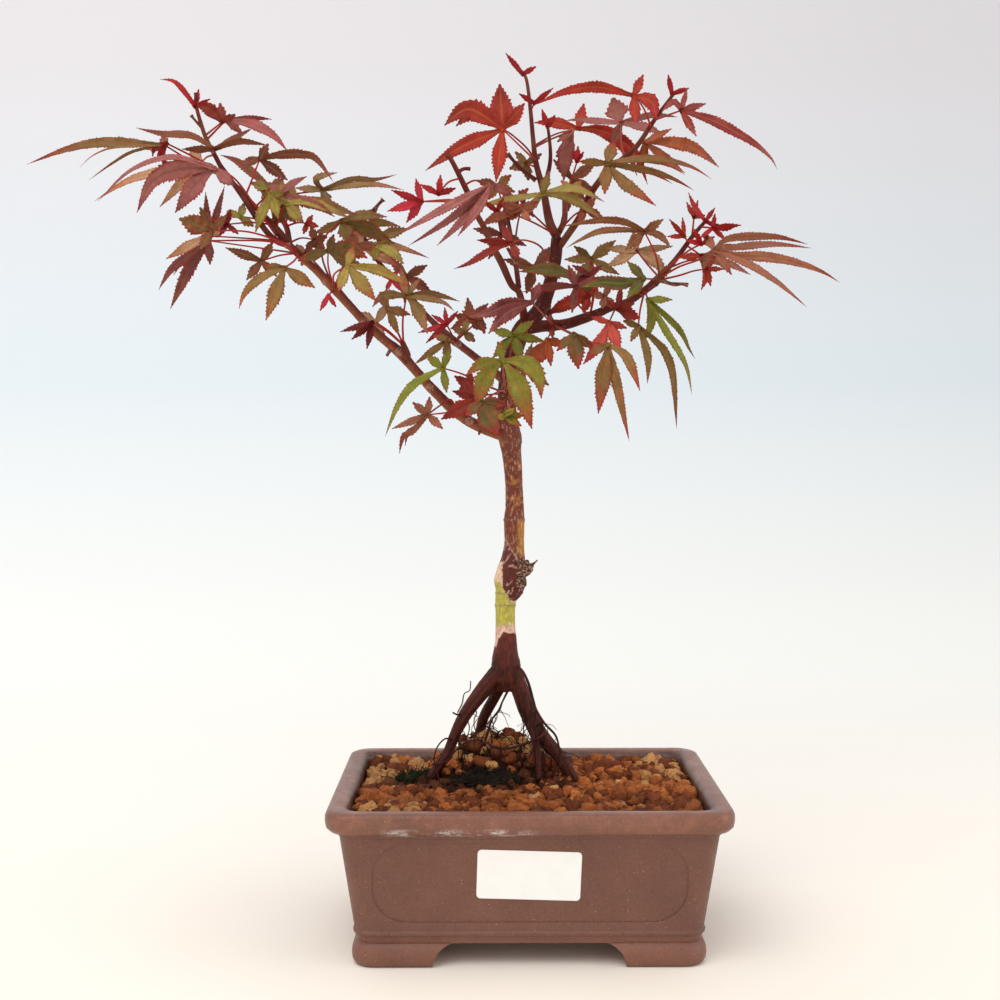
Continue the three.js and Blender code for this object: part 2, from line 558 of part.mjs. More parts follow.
    leaves: [
      leaf([3, 327.5, -34], [[14.7, 315.5, 10.2], [9, 321, -12]], [
        [5, -4, -8, 327, -20, 322, -30, 320], [6, -12, -10, 322, -20, 311], [5, 4, 7, 338]]),
      leaf([10, 307, -10], [[14.7, 315.5, 10.2]], [
        [6, -5, 2, 292], [5, -3, 20, 305], [5, -6, 13, 294]]),
      leaf([25, 310, -34], [[14.7, 315.5, 10.2], [20, 313, -14]], [
        [7, -6, 28, 292], [5, -3, 36, 303], [5, 2, 16, 302]], [36, 1]),
      leaf([43, 305.5, -52], [[14.7, 315.5, 10.2], [30, 308, -20], [38, 306, -40]], [
        [9, -10, 38, 269], [5.5, -12, 54.5, 254.5], [5.5, -6, 52, 300, 57, 290, 60, 281],
        [5, 5, 32, 300]]),
      leaf([12, 322, 34], [[14.7, 315.5, 10.2]], [
        [5, 4, 26, 328], [5, 6, 9, 333], [5, 8, 0, 321], [5, 12, 14, 308]]),
    ],
  },
  {
    name: 'right_branch_outer_leaves',
    color: 0xa5524d,
    collar: [[46, 325.3, -3.3, 2.1], [49, 326.1, -4.1, 2.05]],
    leaves: [
      leaf([43, 315, -22], [[47.5, 325.7, -3.7]], [
        [6, -6, 30, 295], [6, -8, 48, 300], [4, 2, 33, 320], [4.5, -2, 55, 312]]),
      leaf([48, 324, -15], [[47.5, 325.7, -3.7]], [
        [4.5, -4, 51, 338], [5.5, -5, 61, 318], [4, -2, 40, 331]]),
    ],
  },
  {
    name: 'right_knot_low_leaves',
    color: 0x8e9150,
    collar: [[61, 332.8, -8.3, 1.95], [63.5, 334.8, -9, 2]],
    leaves: [
      leaf([64, 329, -22], [[62.3, 333.8, -8.7]], [
        [5, -4, 66, 318, 62, 307], [4, -10, 68, 322, 74, 312, 84, 295, 87.5, 279],
        [3.5, 4, 80, 314, 86, 303, 89, 298], [4, 9, 77, 329]]),
      leaf([59, 315, -38], [[62.3, 333.8, -8.7], [60, 324, -28]], [
        [4.5, -4, 64, 300, 64, 285], [4.5, -12, 69.5, 306, 75, 298, 78, 285, 79.5, 261], [4, 2, 51, 318],
        [4, -4, 55, 307]]),
    ],
  },
  {
    name: 'right_knot_high_leaves',
    color: 0x8a6e3f,
    stems: [[[67, 337.5, -10, 2.5], [69.5, 340, -10.8, 2.2], [75, 346, -12.5, 1.7]]],
    leaves: [
      leaf([62, 364.5, -40], [[70, 340.5, -11], [68, 352, -26]], [
        [4, -6, 53, 369, 40, 370.5, 18, 367], [3.5, 8, 50, 365.5, 38, 364.5, 28, 360, 21, 356],
        [4.5, 3, 72, 371], [4, -6, 70, 362.5, 76, 356], [6, -9, 52, 355]]),
      leaf([58, 354.5, 12], [[70, 340.5, -11], [64, 347, 2]], [
        [4, 8, 77, 357], [7, 2, 68, 349, 74, 341], [4.5, 3, 41, 356], [5.5, -4, 42, 346],
        [5, 8, 56, 365]]),
      leaf([62, 342, -24], [[69, 339.5, -11]], [
        [5, -10, 50, 338, 38, 338, 28, 335], [6, -6, 53, 330], [5, 5, 53, 349]]),
    ],
  },
  {
    name: 'right_tip_spray',
    color: 0x9c5a48,
    stems: [[[75.3, 346.3, -12.6, 1.5], [80, 352, -15, 1.4], [88, 363, -18, 1.2], [95, 371, -20, 0.9]]],
    leaves: [
      leaf([99, 355, -36], [[80, 351.5, -15], [90, 349, -26]], [
        [4.5, 8, 107, 361, 130, 362, 148, 358], [4, 22, 128, 358, 150, 356],
        [5.5, -6, 112, 352, 125, 351.5, 140, 349, 155, 344, 165, 338],
        [4, -22, 118, 347, 128, 341, 135, 336, 148, 325], [5, 10, 93, 364], [5, -8, 108, 342]]),
      leaf([94, 370, -20], [[91, 366.5, -19]], [
        [3, -3, 88, 378, 85, 385], [2.6, 3, 99, 377], [3, -4, 104, 366, 111, 368]]),
      leaf([83, 361, -22], [[85, 359, -17]], [
        [3, -3, 76, 370], [2.8, -5, 75, 360]]),
      leaf([92, 352, -2], [[84, 357.5, -16]], [
        [4, 4, 80, 351], [4.5, -4, 95, 343, 92, 334], [4.5, 4, 100, 351]]),
    ],
  },
  {
    name: 'branch_mid_leaves',
    color: 0x77753f,
    collar: [[32, 319.8, 3, 2.55], [35, 320.9, 1.5, 2.45]],
    leaves: [
      leaf([34, 350, 26], [[33.5, 320.4, 2.2], [36, 335, 14]], [
        [6, 4, 47, 360], [4.5, 3, 25, 357], [4.5, -3, 20, 350], [5, -6, 49, 342], [6, -6, 33, 336]]),
      leaf([33, 342, -6], [[33.5, 320.4, 2.2], [35, 332, -4]], [
        [3.5, -3, 24, 347], [3.5, -3, 40, 347], [3.5, -5, 25, 338]]),
      leaf([26, 336, -17], [[33.5, 320.4, 2.2], [27, 327, -9]], [
        [4.5, -4, 15, 336, -2, 333], [4.5, -4, 44, 341], [5, -6, 24, 322], [5, 6, 22, 347]]),
    ],
  },
  {
    name: 'trunk_top_leaves',
    color: 0x5a5f35,
    collar: [[13.4, 342, 24.4, 3.5], [14.1, 345.5, 25, 3.5]],
    leaves: [
      leaf([26, 341, 4], [[13.8, 343.8, 24.7], [20, 342, 12]], [
        [5.5, -6, 18, 344, 8, 344, -3, 343], [5, -4, 36, 333], [5, 4, 34, 350]]),
      leaf([-8, 358.5, -30], [[13.8, 343.8, 24.7], [8, 356, 0], [-1, 360, -18]], [
        [4.5, -5, -26, 360], [4, -10, -18, 355, -30, 348, -38, 345], [4.5, 5, -13, 369],
        [5, -6, -4, 350]]),
      leaf([4, 346, 58], [[13.8, 343.8, 24.7], [9, 345, 42]], [
        [6, 6, -12, 350], [6, 8, 0, 332], [6, 8, 16, 358], [5, 10, 18, 340]]),
    ],
  },
  {
    name: 'inner_left_spray',
    color: 0x7c4350,
    stems: [[[-1, 318, 18, 2.4], [-2, 325, 12, 2], [-4, 333, 6, 1.8], [-8, 337, 3, 1.8], [-13, 348, -2, 2],
      [-18, 357, -5, 1.7], [-22, 366, -8, 1.6], [-27, 375, -10, 1.6], [-31, 385, -12, 1.6],
      [-39, 401, -14, 1.5]],
    [[-4, 335, 6, 1.5], [-6, 350, 10, 1.3], [-10, 372, 16, 1.1]]],
    leaves: [
      leaf([-18, 389, -32], [[-33, 388, -12], [-27, 391, -22]], [
        [5, -4, -42, 377, -69, 362], [4.5, -20, -40, 371, -62, 357], [5, -12, -32, 372, -47, 357],
        [5, -18, -25, 377, -36, 362], [5, -4, -8, 384]]),
      leaf([-46, 384, -26], [[-35, 392, -13], [-41, 390, -20]], [
        [3.5, -3, -45, 394], [3.5, -4, -56, 389], [3.5, 3, -37, 387]]),
      leaf([-55, 380, 0], [[-29, 380, -11], [-40, 381, -5]], [
        [4, -4, -71, 386], [5, -6, -73, 375], [4.5, -5, -63, 369], [4, 4, -58, 392]], [30, 0.9]),
      leaf([-13, 363, 34], [[-8.5, 362, 13]], [
        [5, 6, -28, 366], [5, 6, -20, 350], [5, 8, -12, 376], [5, 12, 0, 357]]),
    ],
  },
  {
    name: 'leader_spray',
    color: 0xb03a24,
    stems: [
      [[16, 361.5, 28, 2.6], [12, 370, 31, 2.4], [9, 385, 34, 1.9], [5, 400, 36, 1.6], [3.5, 412, 37, 1.3],
        [2, 428, 38, 1.1], [0, 443, 38, 0.9], [-3, 448, 38, 0.8]],
      [[9, 387, 34, 1.4], [12, 398, 29, 1.2], [12.5, 407, 24, 1], [11, 420, 18, 0.8]],
      [[5, 391, 34.5, 1.7], [-4, 398, 34, 1.5], [-10, 405, 33, 1.4]],
      [[17, 364, 28.5, 1.7], [20, 371, 32, 1.6], [20, 383, 36, 1.4]],
    ],
    leaves: [
      leaf([-12.5, 417.5, 6], [[5, 401, 35], [0, 408, 24], [-8, 415, 12]], [
        [12, 6, -14, 441], [11, -4, -30, 428, -43, 419.5], [8, -12, -35, 408, -53, 396],
        [8, -14, -16, 390], [8, 6, -1, 431]], [70, 0.8]),
      leaf([-2, 446, 38], [[0, 443, 38]], [
        [3, -2, -7, 452, -11, 457], [3, 4, 5, 450]]),
      leaf([4, 431, 34], [[2.2, 427, 38]], [
        [3, -3, 14, 439], [3, -4, -4, 436]]),
      leaf([11, 419, 18], [[11.4, 417, 19]], [
        [3, -3, 8, 428], [3, -2, 15, 425]]),
      leaf([24, 417, 52], [[4, 409, 37], [14, 414, 46]], [
        [5, 6, 38, 415.5, 48, 412, 55, 406, 63, 391], [8, 8, 20, 392], [6, 4, 4, 421],
        [6, 12, 30, 431]], [84, 0.85]),
      leaf([8, 384, 8], [[9, 386, 33]], [
        [4, -8, -10, 381, -28, 377], [4.5, -2, 25, 387, 41, 380], [5, -14, 19, 383, 30, 378, 42, 369],
        [4.5, -8, -2, 372], [5, -4, 12, 396]]),
      leaf([24, 392, 52], [[20, 381, 35.5]], [
        [6, 6, 36, 384], [6, 4, 36, 400], [5, 8, 22, 375], [5, 8, 14, 402]]),
    ],
  },
  {
    name: 'top_right_spray',
    color: 0xb14a3f,
    stems: [[[17, 355.5, 26, 1.6], [20.5, 361, 23.5, 1.9], [28, 372, 20, 1.9], [33, 383, 14, 1.8], [40, 393, 6, 1.7],
      [46, 399, 2, 1.6], [57, 408, -5, 1.4], [68, 424, -12, 1.1], [77, 436, -18, 0.8]]],
    leaves: [
      leaf([56, 435, -36], [[65, 419.5, -11], [61, 429, -24]], [
        [6, -8, 45, 438, 35, 439.5, 20, 437, 4, 430], [8, -6, 65, 432, 68, 423], [6.5, -10, 57, 421],
        [5, 6, 61, 446]]),
      leaf([49.5, 421, 22], [[51, 403, -1], [49.5, 412, 10]], [
        [12, 6, 45, 434], [3.5, -6, 28, 422.5, 20, 422], [5, -6, 65, 418, 72, 413],
        [3.5, 8, 66, 425, 79, 424], [6, 12, 44, 408]]),
      leaf([84, 426, -44], [[67, 422.5, -12], [75, 423, -30]], [
        [5, -12, 99, 420, 110, 415, 120, 410, 128, 403, 131, 396], [4, -6, 77, 432, 70, 425],
        [5, -16, 89, 412], [5, 14, 96, 431], [5, 18, 84, 440]]),
      leaf([62, 411, 14], [[54, 405.5, -4], [57, 409, 6]], [
        [7, 4, 75, 411, 88, 408, 101, 398], [5, 8, 83, 395], [5, 10, 61, 399],
        [4, -6, 76, 418]]),
      leaf([42, 400, -22], [[41, 394, 5]], [
        [7, 4, 46, 412], [4, -6, 60, 402.5, 75, 401.5, 87, 398, 97, 392], [4, -16, 65, 396, 77, 392, 88, 386],
        [6.5, -12, 50, 391, 58, 385, 68, 378], [4.5, -4, 27, 401], [7, -10, 41, 384]], [16, 0.75]),
      leaf([76, 436, -18], [[74, 432, -16]], [
        [3, -3, 74, 446], [3, -3, 85, 439]]),
    ],
  },
];

// The course of a lobe: a smooth line from the hub to the tip, as it is seen.

function lobeCourse(hub, lobe) {
  const [, , ...steps] = lobe;
  const seen = [new THREE.Vector2(hub[0], hub[1])];
  for (let i = 0; i < steps.length; i += 2) seen.push(new THREE.Vector2(steps[i], steps[i + 1]));
  return seen.length > 2 ? new THREE.SplineCurve(seen) : new THREE.LineCurve(seen[0], seen[1]);
}

const LONG_LOBE = 45;
const WINDING_LOBE = 62;
const STATIONS = {
  short: [[0.42, 0.5, 0.46]],
  long: [[0.3, 0.47, 0.5], [0.66, 0.36, 0.28]],
  curved: [[0.24, 0.46, 0.5], [0.5, 0.5, 0.42], [0.77, 0.27, 0.33]],
};

function stationsOf(lobe, length) {
  const bends = lobe.length > 4;
  if (bends && length > WINDING_LOBE) return STATIONS.curved;
  return length > LONG_LOBE || bends ? STATIONS.long : STATIONS.short;
}

function distanceToCourse(point, course) {
  let least = Infinity;
  for (let t = 0.1; t <= 1.001; t += 0.1) least = Math.min(least, point.distanceTo(course.getPointAt(t)));
  return least;
}

const BASE_REACH = 1.4; // from the hub to the rim between two lobes that lie wide apart
const WIDE_GAP = THREE.MathUtils.degToRad(100);
const SIDE_SHARE = 0.42; // of the way to the next lobe, at most
const STEEPEST = 2.4; // times the blade's thickness, along the line of sight

// The rows of a lobe: pairs of rim points across its course, each [seen point, depth].
function lobeRows(each, k, depth, neighbours) {
  const { lobe, course, length } = each;
  const narrow = THREE.MathUtils.clamp((7 - lobe[0]) / 3, 0.25, 1);
  const slope = Math.tan(THREE.MathUtils.degToRad(LEAF_TILT) * narrow) * (k % 2 ? -1 : 1);
  return stationsOf(lobe, length).map(([t, left, right]) => {
    const at = course.getPointAt(t);
    const along = course.getTangentAt(t);
    const out = new THREE.Vector2(-along.y, along.x);
    const y = depth + lobe[1] * t;
    const [toLeft, toRight] = [left, right].map((share, side) => Math.min(
      share * lobe[0],
      SIDE_SHARE * distanceToCourse(at, neighbours[side].course),
    ));
    return [
      { at: at.clone().addScaledVector(out, -toRight), y: y - slope * toRight },
      { at: at.clone().addScaledVector(out, toLeft), y: y + slope * toLeft },
    ];
  });
}

// The rim between two lobes: one corner where they lie close, a few round the hub where not.
function lobeGap(each, next, hub, depth) {
  const around = (angle) => ({
    at: new THREE.Vector2(Math.cos(angle), Math.sin(angle)).multiplyScalar(BASE_REACH).add(hub),
    y: depth,
  });
  if (each.gap > WIDE_GAP) {
    return [around(each.angle + each.gap / 3), around(each.angle + 2 * each.gap / 3)];
  }
  const near = (lobe) => stationsOf(lobe.lobe, lobe.length)[0][0] * lobe.length;
  const width = (each.lobe[0] + next.lobe[0]) / 4;
  const reach = Math.min(
    Math.max(0.8 * width / Math.sin(each.gap / 2), 2.2),
    0.7 * Math.min(near(each), near(next)),
  );
  const ends = [each, next].map(({ lobe, course, length }) => ({
    at: course.getPointAt(reach / length),
    y: depth + lobe[1] * reach / length,
  }));
  return [{ at: ends[0].at.add(ends[1].at).multiplyScalar(0.5), y: (ends[0].y + ends[1].y) / 2 }];
}

// A palmate leaf: one thin blade whose outline is cut to the hub, with the same triangles on
// both faces, so that seen from the eye one face covers the other.
function bladeSolid({ hub, lobes: drawn }) {
  const [hubX, hubZ, depth] = hub;
  const centre = new THREE.Vector2(hubX, hubZ);
  const lobes = drawn.map((lobe) => {
    const course = lobeCourse(hub, lobe);
    const angle = Math.atan2(lobe[3] - hubZ, lobe[2] - hubX);
    return { lobe, course, angle, length: course.getLength() };
  }).sort((a, b) => a.angle - b.angle);
  const count = lobes.length;
  const rim = [{ at: centre, y: depth }];
  const top = [];
  const outline = [];
  const corners = (points) => points.map((point) => rim.push(point) - 1);
  lobes.forEach((each, k) => {
    const next = lobes[(k + 1) % count];
    const last = lobes[(k + count - 1) % count];
    each.gap = (next.angle - each.angle + 2 * Math.PI) % (2 * Math.PI);
    each.rows = lobeRows(each, k, depth, [next, last]).map(corners);
    each.tip = corners([{ at: each.course.getPointAt(1), y: depth + each.lobe[1] }])[0];
    each.base = corners(lobeGap(each, next, centre, depth));
  });
  lobes.forEach((each, k) => {
    const before = lobes[(k + count - 1) % count].base.at(-1);
    const after = each.base[0];
    top.push([0, before, after]);
    let [right, left] = [before, after];
    each.rows.forEach(([nextRight, nextLeft]) => {
      top.push([right, nextRight, nextLeft], [right, nextLeft, left]);
      [right, left] = [nextRight, nextLeft];
    });
    top.push([right, each.tip, left]);
    outline.push(...each.rows.map((row) => row[0]), each.tip, ...each.rows.map((row) => row[1]).reverse());
    each.base.forEach((corner, i) => {
      outline.push(corner);
      if (i > 0) top.push([0, each.base[i - 1], corner]);
    });
  });

  const front = rim.map(({ at, y }) => place([at.x, at.y, y]));
  const facing = rim.map(() => new THREE.Vector3());
  const plane = new THREE.Triangle();
  const normal = new THREE.Vector3();
  top.forEach((corner) => {
    plane.set(...corner.map((c) => front[c])).getNormal(normal);
    corner.forEach((c) => facing[c].add(normal));
  });
  const back = rim.map(({ at, y }, c) => {
    const steep = Math.min(1 / Math.max(-facing[c].normalize().y, 0.1), STEEPEST);
    return place([at.x, at.y, y + BLADE * steep]);
  });
  const under = rim.length;
  const faces = top.flatMap(([a, b, c]) => [[a, b, c], [a + under, c + under, b + under]]);
  outline.forEach((a, i) => {
    const b = outline[(i + 1) % outline.length];
    faces.push([a, a + under, b + under], [a, b + under, b]);
  });
  return solidOf(meshGeometry([...front, ...back], faces));
}

// A stalk from the wood to the hub. One that starts in a collar leaves it square to the wood.
function stalkSolid({ hub, stalk }, collar) {
  const [x, z, y] = hub;
  const points = [...stalk, [x, z, y + BLADE / 2]].map((point) => place(point));
  if (collar) {
    const ends = collar.map((end) => place(end));
    const middle = ends[0].clone().add(ends[1]).multiplyScalar(0.5);
    if (points[0].distanceTo(middle) < COLLAR_HOLD) {
      const axis = ends[1].clone().sub(ends[0]).normalize();
      const outward = points[1].clone().sub(middle);
      outward.addScaledVector(axis, -outward.dot(axis)).setLength(collar[0][3] + 2.5 * COLLAR_SWELL);
      points.splice(0, 1, middle, middle.clone().add(outward));
    }
  }
  const radii = points.map((point, i) => (i < points.length - 1 ? PETIOLE : PETIOLE_TIP));
  return tubeSolid(points, radii, 3);
}

function leafSolid(leafData, collar) {
  return bladeSolid(leafData).add(stalkSolid(leafData, collar));
}

// The leaf on the other side of the node: the same shape, smaller, behind and turned round.
function twinOf(leafData) {
  const [y, size] = leafData.twin;
  const { hub, stalk, lobes } = leafData;
  const [hubX, hubZ] = hub;
  return leaf([hubX, hubZ, y], [stalk[0]], lobes.map(([width, back, ...steps]) => [
    width * size,
    8 - back,
    ...steps.map((s, i) => (i % 2 ? hubZ + (s - hubZ) * size : hubX + (s - hubX) * size)),
  ]));
}

// The swollen ring round the wood that a group of leaves grows from.
function collarSolid(collar) {
  const sides = 6;
  const swollen = collar.map(([x, z, y, r]) => [x, z, y, (r + COLLAR_SWELL) / Math.cos(Math.PI / sides)]);
  return limbSolid(swollen, sides);
}

function spraySolid({ collar, stems = [], leaves }, wood) {
  const pieces = stems.map((path) => limbSolid(path, path[0][3] > THICK_STEM ? 5 : 4));
  if (collar) pieces.unshift(collarSolid(collar));
  leaves.forEach((each) => {
    pieces.push(leafSolid(each, collar));
    if (each.twin) pieces.push(leafSolid(twinOf(each), collar));
  });
  return mainBody(joined(pieces).subtract(wood));
}

// The soil: clay granules as relief on a bed that is heaped up round the roots.

function soilHeight(x, y) {
  const u = (x - MOUND.x) / MOUND.halfWidth;
  const v = (y - MOUND.y) / MOUND.halfDepth;
  return SOIL_LEVEL + MOUND.height * Math.exp(-u * u - v * v);
}

const SOIL_INSET = 0.8;

function granuleSheet(base) {
  const random = seededRandom(11);
  const rowPitch = GRANULE_PITCH * Math.sqrt(3) / 2;
  const columns = Math.ceil((MOUTH_WIDTH + 2) / GRANULE_PITCH);
  const rows = Math.ceil((MOUTH_DEPTH + 2) / rowPitch);
  const points = [];
  for (let j = 0; j <= rows; j += 1) {
    for (let i = 0; i <= columns; i += 1) {
      const x = (i - columns / 2 + (j % 2) / 2 + (random() - 0.5) * 0.5) * GRANULE_PITCH;
      const y = (j - rows / 2 + (random() - 0.5) * 0.5) * rowPitch;
      const lift = (i + 2 * j) % 3 === 0 ? -1 : 0.3 + 0.7 * random();
      points.push(new THREE.Vector3(x, y, soilHeight(x, y) + GRANULE_RELIEF * lift));
    }
  }
  const across = columns + 1;
  const faces = [];
  for (let j = 0; j < rows; j += 1) {
    for (let i = 0; i < columns; i += 1) {
      const a = j * across + i;
      const b = a + across;
      if (j % 2) faces.push([a, a + 1, b + 1], [a, b + 1, b]);
      else faces.push([a, a + 1, b], [a + 1, b + 1, b]);
    }
  }
  const edge = [];
  for (let i = 0; i < columns; i += 1) edge.push(i);
  for (let j = 0; j < rows; j += 1) edge.push(j * across + columns);
  for (let i = columns; i > 0; i -= 1) edge.push(rows * across + i);
  for (let j = rows; j > 0; j -= 1) edge.push(j * across);
  const first = points.length;
  edge.forEach((e) => points.push(new THREE.Vector3(points[e].x, points[e].y, base)));
  edge.forEach((e, i) => {
    const n = (i + 1) % edge.length;
    faces.push([edge[i], first + i, first + n], [edge[i], first + n, edge[n]]);
  });
  const middle = points.push(new THREE.Vector3(0, 0, base)) - 1;
  edge.forEach((e, i) => faces.push([middle, first + ((i + 1) % edge.length), first + i]));
  return solidOf(meshGeometry(points, faces));
}

function screenPocket(x) {
  const size = SCREEN.size + 2 * CLEAR;
  const pocket = new THREE.BoxGeometry(size, size, 4);
  pocket.translate(x, 0, FLOOR_TOP + CLEAR + SCREEN.thick + CLEAR - 2);
  return solidOf(pocket);
}

function soilSolid(sunk) {
  const gap = 2 * SOIL_INSET;
  const filling = loftSolid([
    roundedRing(WAIST_WIDTH - 2 * WALL - gap, WAIST_DEPTH - 2 * WALL - gap, 6, FLOOR_TOP + CLEAR),
    roundedRing(MOUTH_WIDTH - gap, MOUTH_DEPTH - gap, 6, POT_HEIGHT - 2),
    roundedRing(MOUTH_WIDTH - gap, MOUTH_DEPTH - gap, 6, POT_HEIGHT + MOUND.height + 10),
  ]);
  return mainBody(granuleSheet(FLOOR_TOP - 1).intersect(filling)
    .subtract(sunk)
    .subtract(screenPocket(-DRAIN_OFFSET))
    .subtract(screenPocket(DRAIN_OFFSET)));
}

// Dark clumps of moss and peat, which sit on the soil.
const CLUMPS = [
  { name: 'moss_clump', at: [-59, 8, 74.5], half: [11, 8, 5.5], color: 0x2c2f20, seed: 3 },
  { name: 'peat_strip', at: [-20, -3, 78], half: [20, 6, 5], color: 0x1f1a16, seed: 5 },
];

function clumpSolid({ at, half, seed }, grow) {
  const random = seededRandom(seed);
  const lump = mergeVertices(new THREE.IcosahedronGeometry(1, 1).deleteAttribute('normal').deleteAttribute('uv'));
  const points = lump.getAttribute('position');
  for (let i = 0; i < points.count; i += 1) {
    const swell = 0.86 + 0.26 * random();
    points.setXYZ(
      i,
      at[0] + (half[0] * swell + grow) * points.getX(i),
      at[1] + (half[1] * swell + grow) * points.getY(i),
      at[2] + (half[2] * swell + grow) * points.getZ(i),
    );
  }
  return solidOf(lump);
}

// The whole part.

const CLAY = { color: 0x73503f, roughness: 0.7 };
const BARK = { color: 0x6b5138, roughness: 0.85 };
const SOIL = { color: 0xa8703f, roughness: 0.95 };
const PAPER = { color: 0xf1f0ec, roughness: 0.6 };
const PLASTIC = { color: 0x2d3b2f, roughness: 0.6 };

const whole = new THREE.Group();

function addPiece(name, solid, finish) {
  const material = new THREE.MeshStandardMaterial({ metalness: 0, roughness: 0.6, ...finish });
  const mesh = new THREE.Mesh(geometryOf(solid), material);
  mesh.name = name;
  whole.add(mesh);
}

const wood = mainBody(woodSolid(0));
const woodClear = woodSolid(WOOD_GAP);
const clumpsClear = joined(CLUMPS.map((clump) => clumpSolid(clump, CLUMP_GAP)));
const soil = soilSolid(woodClear.add(clumpsClear));

addPiece('pot', potSolid(), CLAY);
addPiece('drainage_screen_left', screenSolid(-DRAIN_OFFSET), PLASTIC);
addPiece('drainage_screen_right', screenSolid(DRAIN_OFFSET), PLASTIC);
addPiece('soil_bed', soil, SOIL);
CLUMPS.forEach((clump) => {
  addPiece(clump.name, mainBody(clumpSolid(clump, 0).subtract(woodClear)), { color: clump.color });
});
addPiece('label', labelSolid(), PAPER);
addPiece('tree_wood', wood, BARK);
SPRAYS.forEach((spray) => addPiece(spray.name, spraySolid(spray, woodClear), { color: spray.color }));

// The origin: on the ground, under the middle of the whole.
const box = new THREE.Box3().setFromObject(whole);
const middle = box.getCenter(new THREE.Vector3());
whole.position.set(-middle.x, -middle.y, -box.min.z);

export default whole;
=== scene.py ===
import math
import random
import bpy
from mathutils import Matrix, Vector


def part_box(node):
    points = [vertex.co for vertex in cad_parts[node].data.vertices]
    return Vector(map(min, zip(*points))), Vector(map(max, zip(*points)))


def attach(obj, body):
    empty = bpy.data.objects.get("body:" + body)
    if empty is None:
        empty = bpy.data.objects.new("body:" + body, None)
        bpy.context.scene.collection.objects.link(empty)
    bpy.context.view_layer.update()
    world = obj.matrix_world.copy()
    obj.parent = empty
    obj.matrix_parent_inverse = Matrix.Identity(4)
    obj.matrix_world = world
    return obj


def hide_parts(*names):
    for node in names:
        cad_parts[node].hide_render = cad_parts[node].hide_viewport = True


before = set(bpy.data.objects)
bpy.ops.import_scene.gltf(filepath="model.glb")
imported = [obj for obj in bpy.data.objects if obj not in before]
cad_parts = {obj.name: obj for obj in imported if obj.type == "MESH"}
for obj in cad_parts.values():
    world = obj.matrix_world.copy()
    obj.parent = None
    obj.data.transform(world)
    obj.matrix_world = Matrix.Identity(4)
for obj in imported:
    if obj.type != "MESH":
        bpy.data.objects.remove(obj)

from types import SimpleNamespace

import bpy
import numpy as np
from mathutils import Matrix, Vector, noise
from mathutils.kdtree import KDTree

bl_info = {
    "name": "Broom maple bonsai",
    "version": (1, 0, 0),
    "blender": (4, 5, 0),
    "location": "View3D > Sidebar > Bonsai",
    "description": "A small broom maple with narrow leaves on stilt roots in a rectangular clay pot",
    "category": "Add Mesh",
}

MM = 0.001
POT_LOW, POT_HIGH = (Vector(corner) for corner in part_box("pot"))
CENTRE = Vector(((POT_LOW.x + POT_HIGH.x) / 2, (POT_LOW.y + POT_HIGH.y) / 2, 0))

# The viewer's eye from the pot's bottom centre, in mm, and its distance to the trunk's upright plane.
EYE = Vector((-19.3, -725.4, 257.3))
SIGHT = 740.4

# Points of a tube that are this close, in metres, are made one.
SAME_SPOT = 2e-7

def rgb(red, green, blue):
    """A screen colour from 0 to 255 as the linear colour that a shader takes."""
    parts = [c / 255 for c in (red, green, blue)]
    return tuple(c / 12.92 if c <= 0.04045 else ((c + 0.055) / 1.055) ** 2.4 for c in parts)


def size(name, default, description):
    """A length property that is given in mm."""
    return bpy.props.FloatProperty(name=name, default=default * MM, min=0, subtype="DISTANCE",
                                   unit="LENGTH", precision=4, description=description)


def colour(name, red, green, blue, description):
    """A colour property that is given as a screen colour."""
    return bpy.props.FloatVectorProperty(name=name, default=rgb(red, green, blue), size=3, min=0, max=1,
                                         subtype="COLOR", description=description)


class BonsaiPotSettings(bpy.types.PropertyGroup):
    rim_length: size("Rim length", 197, "Length of the pot over its rim")
    rim_width: size("Rim width", 145, "Width of the pot over its rim")
    height: size("Height", 78.6, "Height of the pot from the ground to the top of its rim")
    panel_depth: size("Panel depth", 0.6, "How far the wall panels are sunk")
    clay: colour("Clay", 121, 78, 61, "Colour of the clay")
    clay_dark: colour("Dark clay", 100, 64, 51, "Darker patches of the clay")
    worn: colour("Worn rim", 158, 104, 82, "Reddish wear on the rim")
    lime: colour("Lime", 214, 206, 200, "White lime left by water")
    label: colour("Label", 247, 247, 244, "Colour of the blank sticker")
    screen: colour("Screen", 52, 60, 52, "Colour of the plastic screens")


class BonsaiSoilSettings(bpy.types.PropertyGroup):
    level: size("Level", 74, "Height of the soil at the walls")
    mound: size("Mound", 23, "How far the soil is heaped up under the trunk")
    granule: size("Granule", 7.7, "Usual size of a granule")
    pitch: size("Pitch", 5, "Distance between granules")
    orange: colour("Orange granule", 158, 88, 42, "Usual colour of the baked clay granules")
    brown: colour("Brown granule", 114, 57, 28, "Colour of the darker granules")
    tan: colour("Tan granule", 190, 136, 84, "Colour of the palest granules")
    moss: colour("Moss", 36, 39, 23, "Colour of the moss")
    peat: colour("Peat", 34, 27, 21, "Colour of the peat")


